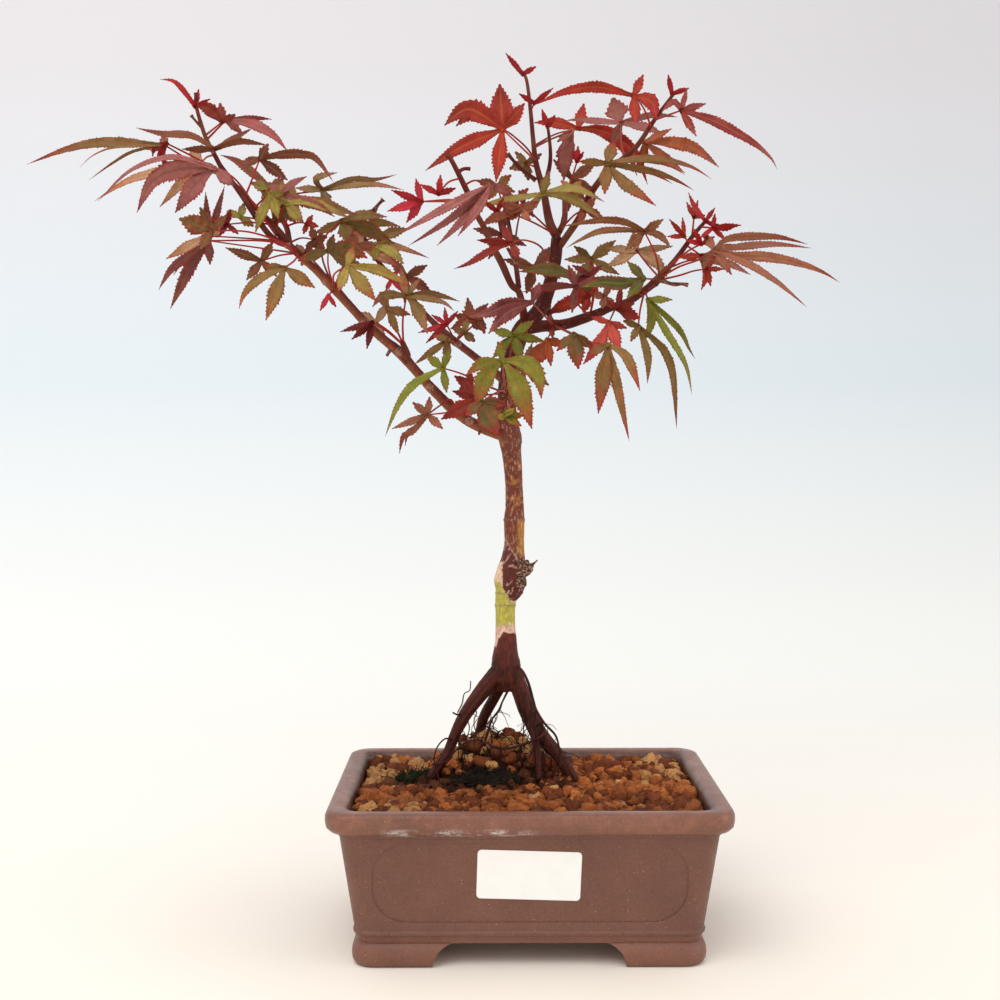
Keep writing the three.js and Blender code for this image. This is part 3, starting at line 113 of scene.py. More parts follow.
class BonsaiWoodSettings(bpy.types.PropertyGroup):
    grain: size("Grain", 0.62, "Cell size of the surface that joins the limbs")
    relief: size("Relief", 0.28, "Depth of the bark's relief")
    root: colour("Root bark", 68, 27, 19, "Dark red brown bark of the roots")
    pale: colour("Pale band", 214, 176, 156, "Pale pink band over the root crown")
    green: colour("Green bark", 180, 170, 78, "Green yellow bark under the graft")
    callus: colour("Callus", 222, 186, 158, "Pale callus of the graft")
    stem: colour("Stem bark", 118, 60, 45, "Red brown bark of the trunk")
    ochre: colour("Ochre patch", 172, 118, 54, "Ochre patches on the trunk")
    upper: colour("Upper bark", 78, 24, 15, "Dark bark over the fork")
    branch: colour("Branch bark", 110, 47, 36, "Red brown upper side of the branches")
    branch_low: colour("Branch underside", 146, 88, 56, "Ochre underside of the branches")
    rootlet: colour("Rootlet", 42, 18, 13, "Dark fine rootlets")


class BonsaiLeafSettings(bpy.types.PropertyGroup):
    thickness: size("Thickness", 0.3, "Thickness of a blade")
    tooth: size("Tooth", 0.95, "Length of half a tooth along the blade's margin")
    petiole: size("Petiole", 0.58, "Radius of a leaf stalk at its foot")
    scarlet: colour("Scarlet", 160, 44, 22, "Scarlet blades")
    crimson: colour("Crimson", 162, 26, 34, "Crimson young blades and red tips")
    maroon: colour("Maroon", 92, 26, 24, "Dark red young blades")
    rust: colour("Rust", 132, 46, 32, "Red brown blades")
    orange: colour("Orange", 164, 88, 44, "Orange blades")
    salmon: colour("Salmon", 194, 84, 62, "Salmon blades")
    pink: colour("Pink", 192, 48, 60, "Pink young blades")
    mauve: colour("Mauve", 156, 96, 88, "Mauve blades")
    purple: colour("Purple", 98, 48, 44, "Dark purple blades")
    umber: colour("Umber", 116, 72, 42, "Olive brown blades")
    tan: colour("Tan", 156, 106, 78, "Red tan blades")
    olive: colour("Olive", 122, 106, 54, "Olive blades")
    moss: colour("Moss green", 82, 88, 40, "Dark green blades")
    green: colour("Green", 112, 130, 36, "Bright green blades")
    lime: colour("Lime green", 152, 144, 66, "Yellow green blades")
    beige: colour("Beige", 182, 144, 106, "Pale undersides")
    margin: colour("Margin", 156, 34, 30, "Red margin of the older blades")
    stalk: colour("Stalk", 162, 33, 24, "Red leaf stalks")
    stalk_low: colour("Stalk foot", 118, 60, 34, "Brown feet of the leaf stalks")
    shoot: colour("Shoot", 92, 25, 17, "Dark red young stems")
    shoot_green: colour("Green shoot", 112, 66, 40, "Olive patches of the young stems")


class BonsaiStageSettings(bpy.types.PropertyGroup):
    lens: bpy.props.FloatProperty(name="Lens", default=50.4, min=10, max=300, unit="CAMERA",
                                  description="Focal length of the camera in mm")
    pitch: bpy.props.FloatProperty(name="Pitch", default=math.radians(2.62), unit="ROTATION",
                                   subtype="ANGLE", description="How far the camera looks down")
    yaw: bpy.props.FloatProperty(name="Yaw", default=math.radians(0.42), unit="ROTATION",
                                 subtype="ANGLE", description="How far the camera turns to the right")
    key: bpy.props.FloatProperty(name="Key light", default=12, min=0, unit="POWER",
                                 description="Power of the large light over the camera")
    fill: bpy.props.FloatProperty(name="Fill light", default=4, min=0, unit="POWER",
                                  description="Power of the side light")
    sky: bpy.props.FloatProperty(name="Sky", default=0.86, min=0,
                                 description="Strength of the even light from all sides")
    floor: colour("Floor", 250, 241, 229, "Cream colour of the near floor")
    white: colour("White", 249, 249, 244, "White of the far floor")
    middle: colour("Middle", 229, 237, 242, "Pale blue of the backdrop behind the tree")
    top: colour("Top", 233, 230, 233, "Grey white of the upper backdrop")


GROUPS = {
    "bonsai_pot": BonsaiPotSettings,
    "bonsai_soil": BonsaiSoilSettings,
    "bonsai_wood": BonsaiWoodSettings,
    "bonsai_leaves": BonsaiLeafSettings,
    "bonsai_stage": BonsaiStageSettings,
}

# Tree points are (x, z, y): where the point shows in the trunk's upright plane as the eye sees it,
# and its true depth, in mm from the pot's bottom centre. Wood points carry a radius as well.

TRUNK = (
    (-10.6, 122, 15, 6), (-10.7, 128, 15, 7.6), (-10.7, 135, 15, 7.9), (-10.9, 140, 15, 7.1),
    (-10.8, 145, 15, 6.2), (-10.7, 150, 15, 5.6), (-11.1, 160, 15, 5.2), (-10.9, 170, 15, 5.5),
    (-9.4, 175, 15, 7.3), (-8.5, 180, 15, 8.7), (-7.8, 186, 15, 7.8), (-7, 191, 15, 6.7),
    (-6.4, 200, 15, 5.3), (-6.3, 213, 15, 5.5), (-6.1, 221, 15, 4.8), (-6.9, 238, 15, 4.8),
    (-7.8, 249, 15, 5.1), (-8.6, 256, 15, 6.3), (-9.5, 263, 14, 5.5), (-10.5, 275, 14, 4.7),
    (-10.5, 286, 14, 4.1), (-8.6, 296, 15, 4), (-5.6, 304, 16, 4.6), (-2.4, 313, 18, 4.9),
    (5, 321, 20, 4.2), (10, 330, 22, 3.8), (13, 340, 24, 3.5), (15.3, 351, 26, 3.5), (16, 361, 28, 3.3),
)
THICK_ROOTS = (
    ((-12.5, 134, 15, 5), (-17, 129, 14, 4.9), (-24, 120.5, 12, 4.3), (-29, 114, 10, 3.8),
     (-34, 106, 9, 3.4), (-38, 98, 8, 2.9), (-42, 88, 7, 2.7), (-47, 81, 6, 2.6), (-54, 70, 4, 2.2)),
    ((-11.5, 129, 17, 3.6), (-17, 118, 20, 3), (-22, 108.5, 24, 2.8), (-25, 98, 28, 2.6),
     (-28, 84, 31, 2.3), (-30, 76, 32, 2)),
    ((-8, 133, 15, 5), (-4, 124, 14, 4.8), (1, 111, 12, 4.4), (6, 101, 11, 4.1), (12, 93, 9, 3.9),
     (18, 86, 8, 3.6), (26, 73, 6, 3)),
    ((2, 108, 10, 2.4), (5, 95, 5, 2.1), (6.4, 86, 2, 1.8), (7, 74, -1, 1.5)),
    ((-6, 127, 21, 3), (-2, 112, 30, 2.6), (4, 98, 40, 2.2), (9, 82, 46, 1.8), (11, 72, 48, 1.6)),
)
THIN_ROOTS = (
    ((-5, 135, 11, 1), (-1.5, 131.5, 8, 0.8), (1.5, 125, 6, 0.75), (4, 116, 5, 0.7), (5.5, 111, 4, 0.8),
     (10, 104, 3, 0.65), (15.5, 98, 1, 0.6), (17.5, 92, -1, 0.5), (18.5, 84, -2, 0.5), (17, 76, -3, 0.5)),
    ((-9.5, 122, 10, 0.7), (-12.5, 116, 8, 0.5), (-14.5, 111, 8, 0.7), (-18, 106.5, 7, 0.5),
     (-20.5, 99, 6, 0.7), (-22, 93, 6, 0.5), (-21, 82, 6, 0.5)),
    ((8, 105, 6, 0.8), (9.5, 99, 2, 0.7), (5, 95.5, -1, 0.7), (-8, 91, -3, 0.7), (-17, 91.5, -3, 0.7),
     (-22, 94, 0, 0.6), (-26, 88, 4, 0.6), (-28, 78, 6, 0.6)),
    ((-39, 95, 6, 0.6), (-43, 96, 2, 0.45), (-47, 92, 0, 0.4), (-49, 86, -1, 0.4), (-48, 80, -1, 0.4),
     (-46, 72, -2, 0.4)),
    ((5, 110, 6, 0.5), (5, 102, 4, 0.45), (4.5, 94, 2, 0.4), (3, 88, 0, 0.4), (0, 83, -2, 0.35),
     (-3, 73, -3, 0.35)),
    ((-35, 109, 6, 0.6), (-37, 109, 4, 0.5), (-39, 110, 2, 0.4)),
    ((-36.5, 110, 8, 0.35), (-34, 115, 6, 0.35), (-33, 120, 5, 0.3), (-30, 122, 5, 0.3),
     (-29.5, 127, 6, 0.3)),
    ((-50, 82, 2, 0.5), (-42, 84, 0, 0.5), (-38, 89, 0, 0.45), (-32, 94, 0, 0.4), (-26, 95.5, 2, 0.4),
     (-23, 94, 4, 0.4)),
    ((-62, 69.5, -4, 0.9), (-51, 70.5, -5, 0.9), (-40, 71, -6, 0.8)),
)
BRANCHES = (
    ((-9, 257, 15, 3.6), (-20, 260.5, 14, 3.2), (-30, 265, 13, 2.9), (-40, 272.5, 11, 2.8),
     (-50, 282.5, 9, 2.7), (-60, 293.5, 7, 2.5), (-66, 300.5, 5, 2.8), (-75, 308, 3, 2.4),
     (-85, 317, 0, 2.3), (-95, 328, -3, 2.2), (-103, 337, -5, 2.6), (-110, 344, -7, 2.1),
     (-117, 350, -8, 2), (-122, 355, -9, 2), (-126, 358, -10, 2.2)),
    ((-11, 286, 15, 2.6), (-17, 291, 19, 2.2), (-24, 296.5, 25, 2.1), (-31, 302, 31, 2),
     (-41, 309.5, 38, 2.2)),
    ((-2, 313, 17, 3.4), (8, 315, 13, 3.1), (20, 316, 8, 2.8), (30, 319, 4, 2.6), (38, 322, 0, 2.3),
     (45, 325, -3, 2.1), (52, 327, -5, 2), (60, 332, -8, 1.9), (67, 337.5, -10, 2.1)),
    ((-4, 184, 11, 4.2), (-1.5, 186.5, 8, 4.1), (1, 188, 5, 3.6)),
)
TWIGS = (
    ((-5, 347, 9, 1.1), (-10, 356, 7, 0.9)),
    ((-71, 303.5, 4, 1.1), (-73.5, 299.5, 2, 0.8)),
    ((-75, 354, 46, 1.4), (-82, 372, 45, 1.3), (-80, 375, 44.5, 1.6), (-78, 378, 44, 0.9),
     (-75.5, 380.6, 43, 1), (-75, 381.2, 43, 1.7)),
    ((70, 339.5, -11, 1.5), (75, 337.6, -12, 0.9), (78, 337, -13, 1.1), (82, 337.2, -14, 0.8),
     (85, 336.6, -15, 1.2)),
    ((62, 332, -9, 1.4), (55, 334.5, -12, 1.1)),
    ((-24, 262.5, 13, 1), (-25, 258, 11, 0.6)),
    ((3, 189, 4, 0.9), (4.4, 190, 2, 0.6), (6, 191.5, 0, 0.3)),
)

# A spray is the collar on its limb, its stems, and its leaves. A leaf is the colours of its body and
# tips, its hub, its stalk up to the hub, its lobes and, for some, the depth and the share of the size
# of a smaller leaf on the other side of the node. A lobe is its width, how far its tip is behind the
# hub, and the x, z steps that it shows to its tip.

SPRAYS = {
    "left_tip_spray": ((), (
        ((-171.8, 427, -25, 0.8), (-172.6, 433, -26, 0.6), (-172.6, 436, -26, 1)),
        ((-126, 358, -10, 2), (-131, 359.5, -13, 1.8), (-136, 364, -16, 1.6), (-142.5, 373, -19, 1.5),
         (-149, 383, -20, 1.4), (-155, 391.5, -20, 1.3), (-161, 400, -20, 1.1)),
        ((-169.5, 418, -23.5, 0.8), (-174, 423, -24, 0.6), (-175, 424.4, -24, 1)),
        ((-126, 358, -10, 2.6), (-129, 363, -11, 2.1), (-133, 368, -12, 1.6), (-142, 377, -14, 1.4),
         (-150, 386, -16, 1.3), (-157, 393, -18, 1.3), (-163, 404, -20, 1.2), (-168, 414, -23, 1.1),
         (-172.5, 429, -25, 0.9)),
    ), (
        ("olive crimson", (-189, 409, -40), ((-159, 396, -18), (-170, 398, -26)),
         ((5.5, -4, -220, 410.5, -240, 407, -261, 399), (1.7, 14, -205, 406, -216, 400, -228.7, 391),
         (1.5, -14, -214, 408, -226, 404, -233.5, 397.5), (5, 15, -190, 414), (4.5, 10, -199, 407))),
        ("umber purple", (-163, 407, -36), ((-164, 405, -20),), ((4, -8, -175, 414, -190, 415, -204, 418),
         (3.5, -6, -150, 411, -135, 409), (3.5, 14, -143, 418), (4, -10, -180, 407))),
        ("mauve purple", (-163, 397, -56), ((-131, 362, -12), (-143, 379, -26), (-153, 392, -42)),
         ((10.5, -8, -180, 397, -195, 391, -204, 374), (10, -4, -172, 390, -184, 374),
         (3, -16, -185, 403, -207, 396, -224, 380), (7, -6, -153, 388))),
        ("beige orange", (-170, 400, 6), ((-163, 404, -19), (-167, 403, -6)),
         ((5, 6, -205, 392, -226, 380), (5.5, 12, -182, 388, -192, 377), (6, 14, -176, 408),
         (5, 18, -160, 394))),
        ("crimson maroon", (-188, 410, -41), ((-165, 398, -20), (-176, 404, -32)),
         ((4, 3, -191, 404, -188, 398.5), (3, 2, -194, 408, -195.5, 403))),
        ("lime umber", (-135, 387, 8), ((-131.5, 367, -11.5), (-134, 378, -2)), ((6, 5, -144, 389.5),
         (6, -4, -127, 385), (5, 6, -137, 379))),
        ("mauve crimson", (-157, 422, -8), ((-167, 412, -22),),
         ((5.5, -6, -143, 420, -132, 414, -125, 406), (3.5, 12, -141, 423, -133, 422.5),
         (4, 6, -148, 415))),
        ("rust umber", (-159, 421, -14), ((-168, 414, -23),), ((7, -4, -166, 428, -174, 430.5),
         (5, 6, -160, 431), (4, -6, -152, 425))),
        ("lime olive", (-134, 384, -28), ((-142, 377, -14), (-138, 381, -22)),
         ((6, 6, -139, 373, -142, 364), (6, 4, -130, 371), (4.5, 4, -127, 384))),
        ("maroon crimson", (-157, 368, -30), ((-133, 368, -12), (-145, 369, -22)), ((4, -4, -165, 371),
         (3, -4, -161, 362), (3.5, 3, -155, 376), (3, -5, -151, 363))),
        ("lime olive", (-150, 372, -22), ((-134, 369, -12), (-142, 371, -18)), ((5, 4, -143, 367),
         (4, -4, -157, 375), (4.5, 5, -148, 379))),
        ("crimson scarlet", (-173, 429, -26), ((-171.5, 425, -25),),
         ((3, -4, -178, 436, -184, 442, -191, 443), (3, 3, -171, 438), (2.5, 4, -165, 433))),
        ("umber mauve", (-139.5, 402, -2), ((-147, 383, -15), (-143, 393, -8)),
         ((5, -10, -130, 404, -118, 404.5, -110, 402, -101, 390), (6, 12, -125, 391), (5, 6, -149, 400),
         (5, -12, -135, 410))),
        ("lime purple", (-126, 379, -22), ((-131, 365.5, -11), (-130, 370, -15)),
         ((5, -6, -115, 380, -105, 377, -92, 371), (6, -4, -139, 385), (6, 6, -128, 391),
         (7, -8, -117, 369))),
    )),
    "left_inner_spray": ((), (
        ((-123.5, 356.3, -9, 1.3), (-124.3, 359.5, -3.5, 1.4), (-126, 367, 0, 1.5), (-131, 375, 6, 1.4),
         (-140, 388, 12, 1.1)),
    ), (
        ("umber purple", (-134, 387, 24), ((-138, 385, 11),), ((5, 8, -150, 400, -160, 404),
         (5, 14, -127, 392), (6, 20, -138, 377))),
        ("mauve purple", (-129, 384, -20), ((-126, 367, 0), (-128, 376, -8)),
         ((6, -8, -118, 380.5, -108, 377, -100.5, 372), (4, -6, -123, 389, -115, 393),
         (4, 4, -135, 390))),
        ("olive purple", (-121, 381.5, 8), ((-126.5, 368, 0), (-124, 375, 4)),
         ((6, -4, -108, 379.5, -98, 376, -88.5, 373), (5, 6, -122, 373), (4, 5, -124, 389))),
        ("moss umber", (-128, 377, -14), ((-124.8, 362, -1), (-127, 369, -8)), ((7, 6, -132, 367.5),
         (6, -5, -120, 379), (6, 3, -121, 369))),
        ("scarlet crimson", (-115, 368.5, -6), ((-126, 367, 0), (-120, 369, -4)), ((3.5, -3, -109, 367),
         (3, 3, -112, 373), (3, -3, -117, 363))),
        ("umber rust", (-111, 360, 2), ((-124, 358.5, -5), (-118, 361, 0)), ((5.5, -3, -106, 353),
         (5, 4, -104.5, 362), (4.5, 3, -113, 367), (4, -4, -116, 354))),
        ("olive mauve", (-107, 386, 30), ((-139, 387, 12), (-124, 384, 22)),
         ((3.5, 6, -95, 388, -80, 389, -64, 386), (3.5, -10, -110, 392, -99, 395), (4, -8, -121, 387),
         (6, 22, -103, 377), (3, -14, -92, 391.5, -79, 391.5, -68, 394))),
    )),
    "left_elbow_leaves": (((-118.5, 351.5, -8.3, 2), (-121, 354, -8.8, 2)), (
    ), (
        ("purple umber", (-166.5, 359.5, -30), ((-120, 353, -8.6), (-126, 357, -15), (-139, 359.5, -20)),
         ((5, -8, -175, 353, -186, 345, -193, 334), (6.5, -16, -172, 352, -178, 343, -187, 324),
         (5, -12, -166, 347), (4, 8, -168, 385), (4, 10, -161, 378, -158, 388)), (30, 0.7)),
        ("umber olive", (-165, 365, -52), ((-120, 353, -8.6), (-127, 358, -18), (-145, 364, -34)),
         ((11, -4, -182, 371), (6, 4, -171, 377), (6, -10, -171, 355), (5, 6, -157, 373))),
        ("beige orange", (-168, 362, 8), ((-120, 353, -8.6), (-129, 359, -1), (-150, 361, 4)),
         ((5.5, 8, -189, 350), (5, 6, -167, 350), (5, -2, -157, 366), (6, 10, -177, 373))),
        ("umber olive", (-139, 349, -22), ((-120, 353, -8.6), (-129, 352, -16)), ((5, -6, -158, 356),
         (5, -4, -147, 339), (5, 5, -133, 359), (5, 4, -131, 341))),
        ("olive orange", (-127, 345.5, -40), ((-119.5, 352.5, -8.6), (-122, 349, -26)),
         ((5, -8, -140, 340, -148, 332, -151, 324), (8, -14, -137, 318), (7, -6, -111, 335),
         (4.5, 4, -138, 346))),
    )),
    "left_node_leaves": (((-99.5, 333, -4.1, 2.4), (-102.3, 336.2, -4.8, 2.5)), (
    ), (
        ("moss crimson", (-104, 354.5, -12), ((-101, 334.6, -4.5), (-104, 346, -10)),
         ((9, -10, -92, 355, -83.5, 350.5), (6, -6, -112, 352, -120, 349), (5, 4, -90, 360),
         (7, -10, -94, 349, -86, 347), (4.5, 6, -101, 363))),
        ("olive umber", (-97, 370, 12), ((-101, 334.6, -4.5), (-107, 350, 3), (-106, 361, 7)),
         ((8, 6, -83, 365.5, -69.5, 358), (5.5, -8, -85.5, 373, -73, 372),
         (5, 8, -104, 366, -111.5, 363.5), (8.5, -4, -92.5, 359))),
        ("lime olive", (-79, 357, -4), ((-101, 334.6, -4.5), (-92, 348, -4), (-85, 355, -4)),
         ((6, -4, -70, 353.5, -64.5, 347.5), (4.5, 4, -70, 359), (5, 4, -80, 349))),
        ("umber purple", (-89, 357.5, 6), ((-101, 334.6, -4.5), (-96, 347, 0)),
         ((5, -3, -82, 357, -74, 353), (4, 4, -92, 364), (4, -4, -88, 350))),
        ("lime crimson", (-94, 346.5, -34), ((-101, 334.6, -4.5), (-101, 342, -20)), ((8, -8, -79, 328),
         (5.5, -4, -80, 345, -70, 341, -61, 335), (6, -10, -99, 333), (5, 8, -91, 357))),
        ("pink crimson", (-104, 331, -14), ((-101, 334.6, -4.5),), ((3, -3, -108.5, 323),
         (2.6, 3, -100, 325))),
        ("tan umber", (-116, 353, 4), ((-101, 334.6, -4.5), (-108, 345, 0)), ((4, 4, -121, 357.5),
         (3.5, 2, -112, 357.5), (4, 3, -118, 346.5), (3, 2, -110, 350))),
    )),
    "low_left_shoot": (((-62.5, 296.4, 6.2, 2.7), (-65, 299.4, 5.3, 2.8)), (
        ((-63.8, 298, 5.7, 1.8), (-62.6, 299.8, 1.4, 1.8), (-65.5, 307, 0, 1.4)),
    ), (
        ("olive mauve", (-63, 331, -14), ((-64.7, 305, 0.4), (-65, 318, -6)),
         ((5, -4, -75, 331, -81, 325), (7, -12, -58, 325, -52, 311), (3.5, -2, -50, 332, -35, 328),
         (3.5, -20, -45, 328, -38, 323), (4.5, 8, -66, 345), (3.5, 10, -56, 340))),
        ("olive crimson", (-73, 324.5, 2), ((-64.7, 305, 0.4), (-69, 315, 4)), ((5, -6, -61, 321),
         (4.5, -6, -67, 310), (5, 6, -77, 333))),
        ("beige olive", (-79, 317, 16), ((-64.7, 305, 0.4), (-72, 312, 10)), ((6, 6, -76, 306),
         (5, 5, -73, 327), (6, 6, -90, 322))),
        ("maroon purple", (-81, 317, -14), ((-64.7, 305, 0.4), (-73, 312, -5)), ((4, -9, -92, 308),
         (4, -6, -84, 303), (3.5, 2, -98, 312))),
    )),
    "low_left_leaf": (((-35, 268.8, 12, 2.85), (-38, 271, 11.4, 2.8)), (
    ), (
        ("tan rust", (-52, 268.5, -6), ((-36.5, 270, 11.7), (-40, 276.5, 4), (-46, 273, -2)),
         ((4, -4, -71, 261), (3.5, -9, -60, 260, -65, 257, -67, 248), (4.5, -6, -44, 261),
         (4.5, 4, -60, 275), (4, 4, -51, 278)), (24, 0.8)),
    )),
    "second_left_spray": (((-35, 305, 33.8, 2.15), (-38, 307.3, 35.9, 2.2)), (
        ((-37, 306.5, 35.2, 2.4), (-42, 310.5, 38.8, 2.3), (-52, 320, 43, 1.6), (-63, 332, 47, 1.7),
         (-73, 343, 47, 1.4), (-80, 352, 46, 1.3), (-86, 363, 44, 1.1)),
    ), (
        ("pink scarlet", (-42, 316, 26), ((-37, 306.5, 35.2),), ((3, -4, -57, 311.5), (2.6, 2, -50, 321),
         (2.6, 3, -43, 325), (2.6, 3, -36, 323), (3, -6, -53, 306))),
        ("olive orange", (-41, 308, 18), ((-36.6, 306.2, 34.7),), ((4, -4, -59, 295), (4.5, -4, -43, 296),
         (4, 2, -49, 310))),
        ("olive umber", (-33, 312, 14), ((-37, 306.5, 35.2), (-35, 311, 24)), ((5, -4, -27, 307),
         (4, -2, -39, 314), (4, 3, -31, 319))),
        ("umber rust", (-24, 319, 30), ((-37.4, 306.9, 35.4),), ((5, -4, -32, 318, -40, 313.5),
         (4, 2, -34, 323), (4, 2, -22, 311))),
        ("umber purple", (-29, 318, 50), ((-36.7, 306.9, 35.6),), ((5, 4, -38, 321), (5, 6, -20, 327),
         (5, 8, -23, 313), (5, 14, -31, 330))),
        ("beige crimson", (-86, 356, 30), ((-83, 357.5, 45),), ((5, 4, -66, 346),
         (3.5, -8, -74, 358, -60, 354, -51, 350.5), (6, 10, -91, 367), (5, 14, -98, 352))),
        ("olive umber", (-78, 362, 66), ((-84, 360, 45),), ((6, 6, -62, 366), (6, 10, -70, 350),
         (6, 10, -82, 376), (5, 14, -96, 367))),
        ("pink crimson", (-71, 339.5, 36), ((-68, 337.5, 47),), ((2.8, -3, -78, 344), (2.6, 2, -74, 333),
         (2.6, -3, -65, 333), (2.6, 3, -67, 345))),
        ("olive mauve", (-88, 366, 32), ((-86, 362, 44),), ((4.5, -4, -78, 369, -66, 367),
         (4, -6, -95, 371), (4.5, 4, -84, 375))),
        ("umber purple", (-63, 341, 66), ((-65, 334.5, 47),), ((6, 8, -50, 333), (5, 6, -52, 347),
         (5, 10, -64, 327), (5, 14, -72, 351))),
    )),
    "fork_front_leaves": (((-10.5, 277.5, 14, 4.6), (-10.5, 281.5, 14, 4.4)), (
    ), (
        ("green crimson", (-12.5, 297, -34), ((-10.5, 279.5, 14), (-12, 289, -14)),
         ((10, -14, -22, 287, -26.5, 270.3), (6.5, -6, -24, 295, -32, 289), (12, -18, -4.5, 284, 3, 261),
         (9.5, -10, -1.5, 296, 6, 289.5, 8, 277), (5, 4, -15, 307))),
        ("rust crimson", (-29, 283, 0), ((-10.5, 279.5, 14), (-20, 283, 5)), ((5, -3, -38, 289),
         (4, 3, -30, 292), (4.5, 3, -37, 280), (4, -4, -24, 277))),
        ("green olive", (-7, 310.5, -12), ((-10.5, 279.5, 14), (-9, 297, -3)), ((5, -4, 4, 318),
         (5, -6, 10, 307), (6, -8, -2, 296), (5, -8, -18, 298), (5, -2, -18, 313))),
        ("rust maroon", (-26, 277, -12), ((-10.5, 279.5, 14), (-20, 279, -2)), ((8, -8, -45, 266),
         (5, 2, -39, 281), (5, 4, -35, 289), (5, -6, -23, 264))),
        ("moss crimson", (-24, 275, -50), ((-10.5, 279.5, 14), (-14, 281, -24)), ((7, -4, -10, 274),
         (14, -8, -20, 268, -15, 258), (6, -6, -32, 268))),
        ("green crimson", (-11.5, 268.3, -56), ((-10.5, 279, 14), (-8, 275, -30)), ((4.5, -3, -1, 268),
         (4.5, -4, -2.5, 262.5), (3.5, -3, -6, 272), (4, -2, -15.5, 266.5))),
        ("green olive", (-44, 293, -14), ((-10.5, 279.5, 14), (-26, 286, 0), (-34, 290, -7)),
         ((4.5, -10, -50, 290, -60, 284, -68, 273, -74.5, 257), (4.5, -8, -42, 280), (4.5, 3, -40, 304),
         (5, 5, -53, 300))),
        ("olive umber", (-1, 292, 44), ((-10.5, 279.5, 14), (-5, 288, 32)), ((6, 12, 12, 284),
         (6, 10, -6, 276), (6, 8, -16, 295), (5, 12, 3, 306))),
    )),
    "right_branch_inner_leaves": (((13, 315.4, 10.9, 3), (16.5, 315.7, 9.4, 2.9)), (
    ), (
        ("purple mauve", (3, 327.5, -34), ((14.7, 315.5, 10.2), (9, 321, -12)),
         ((7.5, -4, -8, 327, -20, 322, -30, 320), (8, -12, -10, 322, -20, 311), (5, 4, 7, 338))),
        ("orange crimson", (11, 308, -10), ((14.7, 315.5, 10.2),), ((9, -5, 2, 292.5), (5, -3, 20, 305),
         (5, -6, 13, 294))),
        ("moss crimson", (25, 311, -34), ((14.7, 315.5, 10.2), (20, 313, -14)), ((9, -6, 27.5, 292.5),
         (5, -3, 36, 303), (5, 2, 16, 302)), (36, 1)),
        ("olive crimson", (43, 305.5, -52), ((14.7, 315.5, 10.2), (30, 308, -20), (38, 306, -40)),
         ((9, -10, 38, 269), (5.5, -12, 54.5, 254.5), (5.5, -6, 52, 300, 57, 290, 60, 281),
         (5, 5, 32, 300))),
        ("rust olive", (12, 322, 34), ((14.7, 315.5, 10.2),), ((6.5, 4, 20, 326, 28, 328), (5, 6, 9, 333),
         (5, 8, 0, 321), (5, 12, 14, 308))),
    )),
    "right_branch_outer_leaves": (((46, 325.3, -3.3, 2.1), (49, 326.1, -4.1, 2.05)), (
    ), (
        ("salmon pink", (43.5, 317, -22), ((47.5, 325.7, -3.7),), ((7, -6, 38.5, 306, 30, 295),
         (7, -8, 49.5, 302), (3.5, 2, 34, 320), (4, -2, 53, 314))),
        ("rust scarlet", (48, 324, -15), ((47.5, 325.7, -3.7),), ((3.5, -4, 50, 337), (7, -5, 60, 319),
         (3, -2, 42, 329), (4, 3, 57, 327))),
        ("tan umber", (41, 330.5, -8), ((47.5, 325.7, -3.7),), ((5, -4, 47, 324), (4.5, 4, 35, 332),
         (4, 3, 44, 337), (4.5, -5, 40, 324))),
        ("scarlet rust", (33, 331, 22), ((47.5, 325.7, -3.7), (40, 330, 10)), ((7.5, 4, 22, 327, 12, 323),
         (6, -4, 26, 336), (5, 3, 38, 337), (5, 4, 30, 322))),
    )),
    "right_knot_low_leaves": (((61, 332.8, -8.3, 1.95), (63.5, 334.8, -9, 2)), (
    ), (
        ("green olive", (64, 329, -22), ((62.3, 333.8, -8.7),), ((5, -4, 66, 318, 62, 307),
         (4, -10, 68, 322, 74, 312, 84, 295, 87.5, 279), (3.5, 4, 80, 314, 86, 303, 89, 298),
         (4, 9, 77, 329))),
        ("olive umber", (59, 315, -38), ((62.3, 333.8, -8.7), (60, 324, -28)),
         ((4.5, -4, 64, 300, 64, 285), (4.5, -12, 69.5, 306, 75, 298, 78, 285, 79.5, 261),
         (4, 2, 51, 318), (4, -4, 55, 307))),
    )),
    "right_knot_high_leaves": ((), (
        ((67, 337.5, -10, 2.5), (69.5, 340, -10.8, 2.2), (75, 346, -12.5, 1.7)),
    ), (
        ("umber olive", (62, 364.5, -40), ((70, 340.5, -11), (68, 352, -26)),
         ((4, -6, 53, 369, 40, 370.5, 18, 367), (3.5, 8, 50, 365.5, 38, 364.5, 28, 360, 21, 356),
         (4.5, 3, 72, 371), (4, -6, 70, 362.5, 76, 356), (6, -9, 52, 355))),
        ("beige olive", (58, 354.5, 12), ((70, 340.5, -11), (64, 347, 2)), ((4, 8, 77, 357),
         (7, 2, 68, 349, 74, 341), (4.5, 3, 41, 356), (5.5, -4, 42, 346), (5, 8, 56, 365))),
        ("moss green", (62, 340, -24), ((69, 339.5, -11),), ((7.5, -10, 50, 337.5, 40, 338, 29, 335.5),
         (6, -6, 53, 330), (5, 5, 53, 349))),
    )),
    "right_tip_spray": ((), (
        ((75.3, 346.3, -12.6, 1.5), (80, 352, -15, 1.4), (88, 363, -18, 1.2), (95, 371, -20, 0.9)),
    ), (
        ("tan rust", (99, 355, -36), ((69, 339.5, -11), (80, 346, -19), (91, 350, -29)),
         ((4.5, 8, 107, 361, 130, 362, 148, 358), (4, 22, 128, 358, 150, 356),
         (5.5, -6, 112, 352, 125, 351.5, 140, 349, 155, 344, 165, 338),
         (4, -22, 118, 347, 128, 341, 135, 336, 148, 325), (5, 10, 93, 364), (5, -8, 108, 342))),
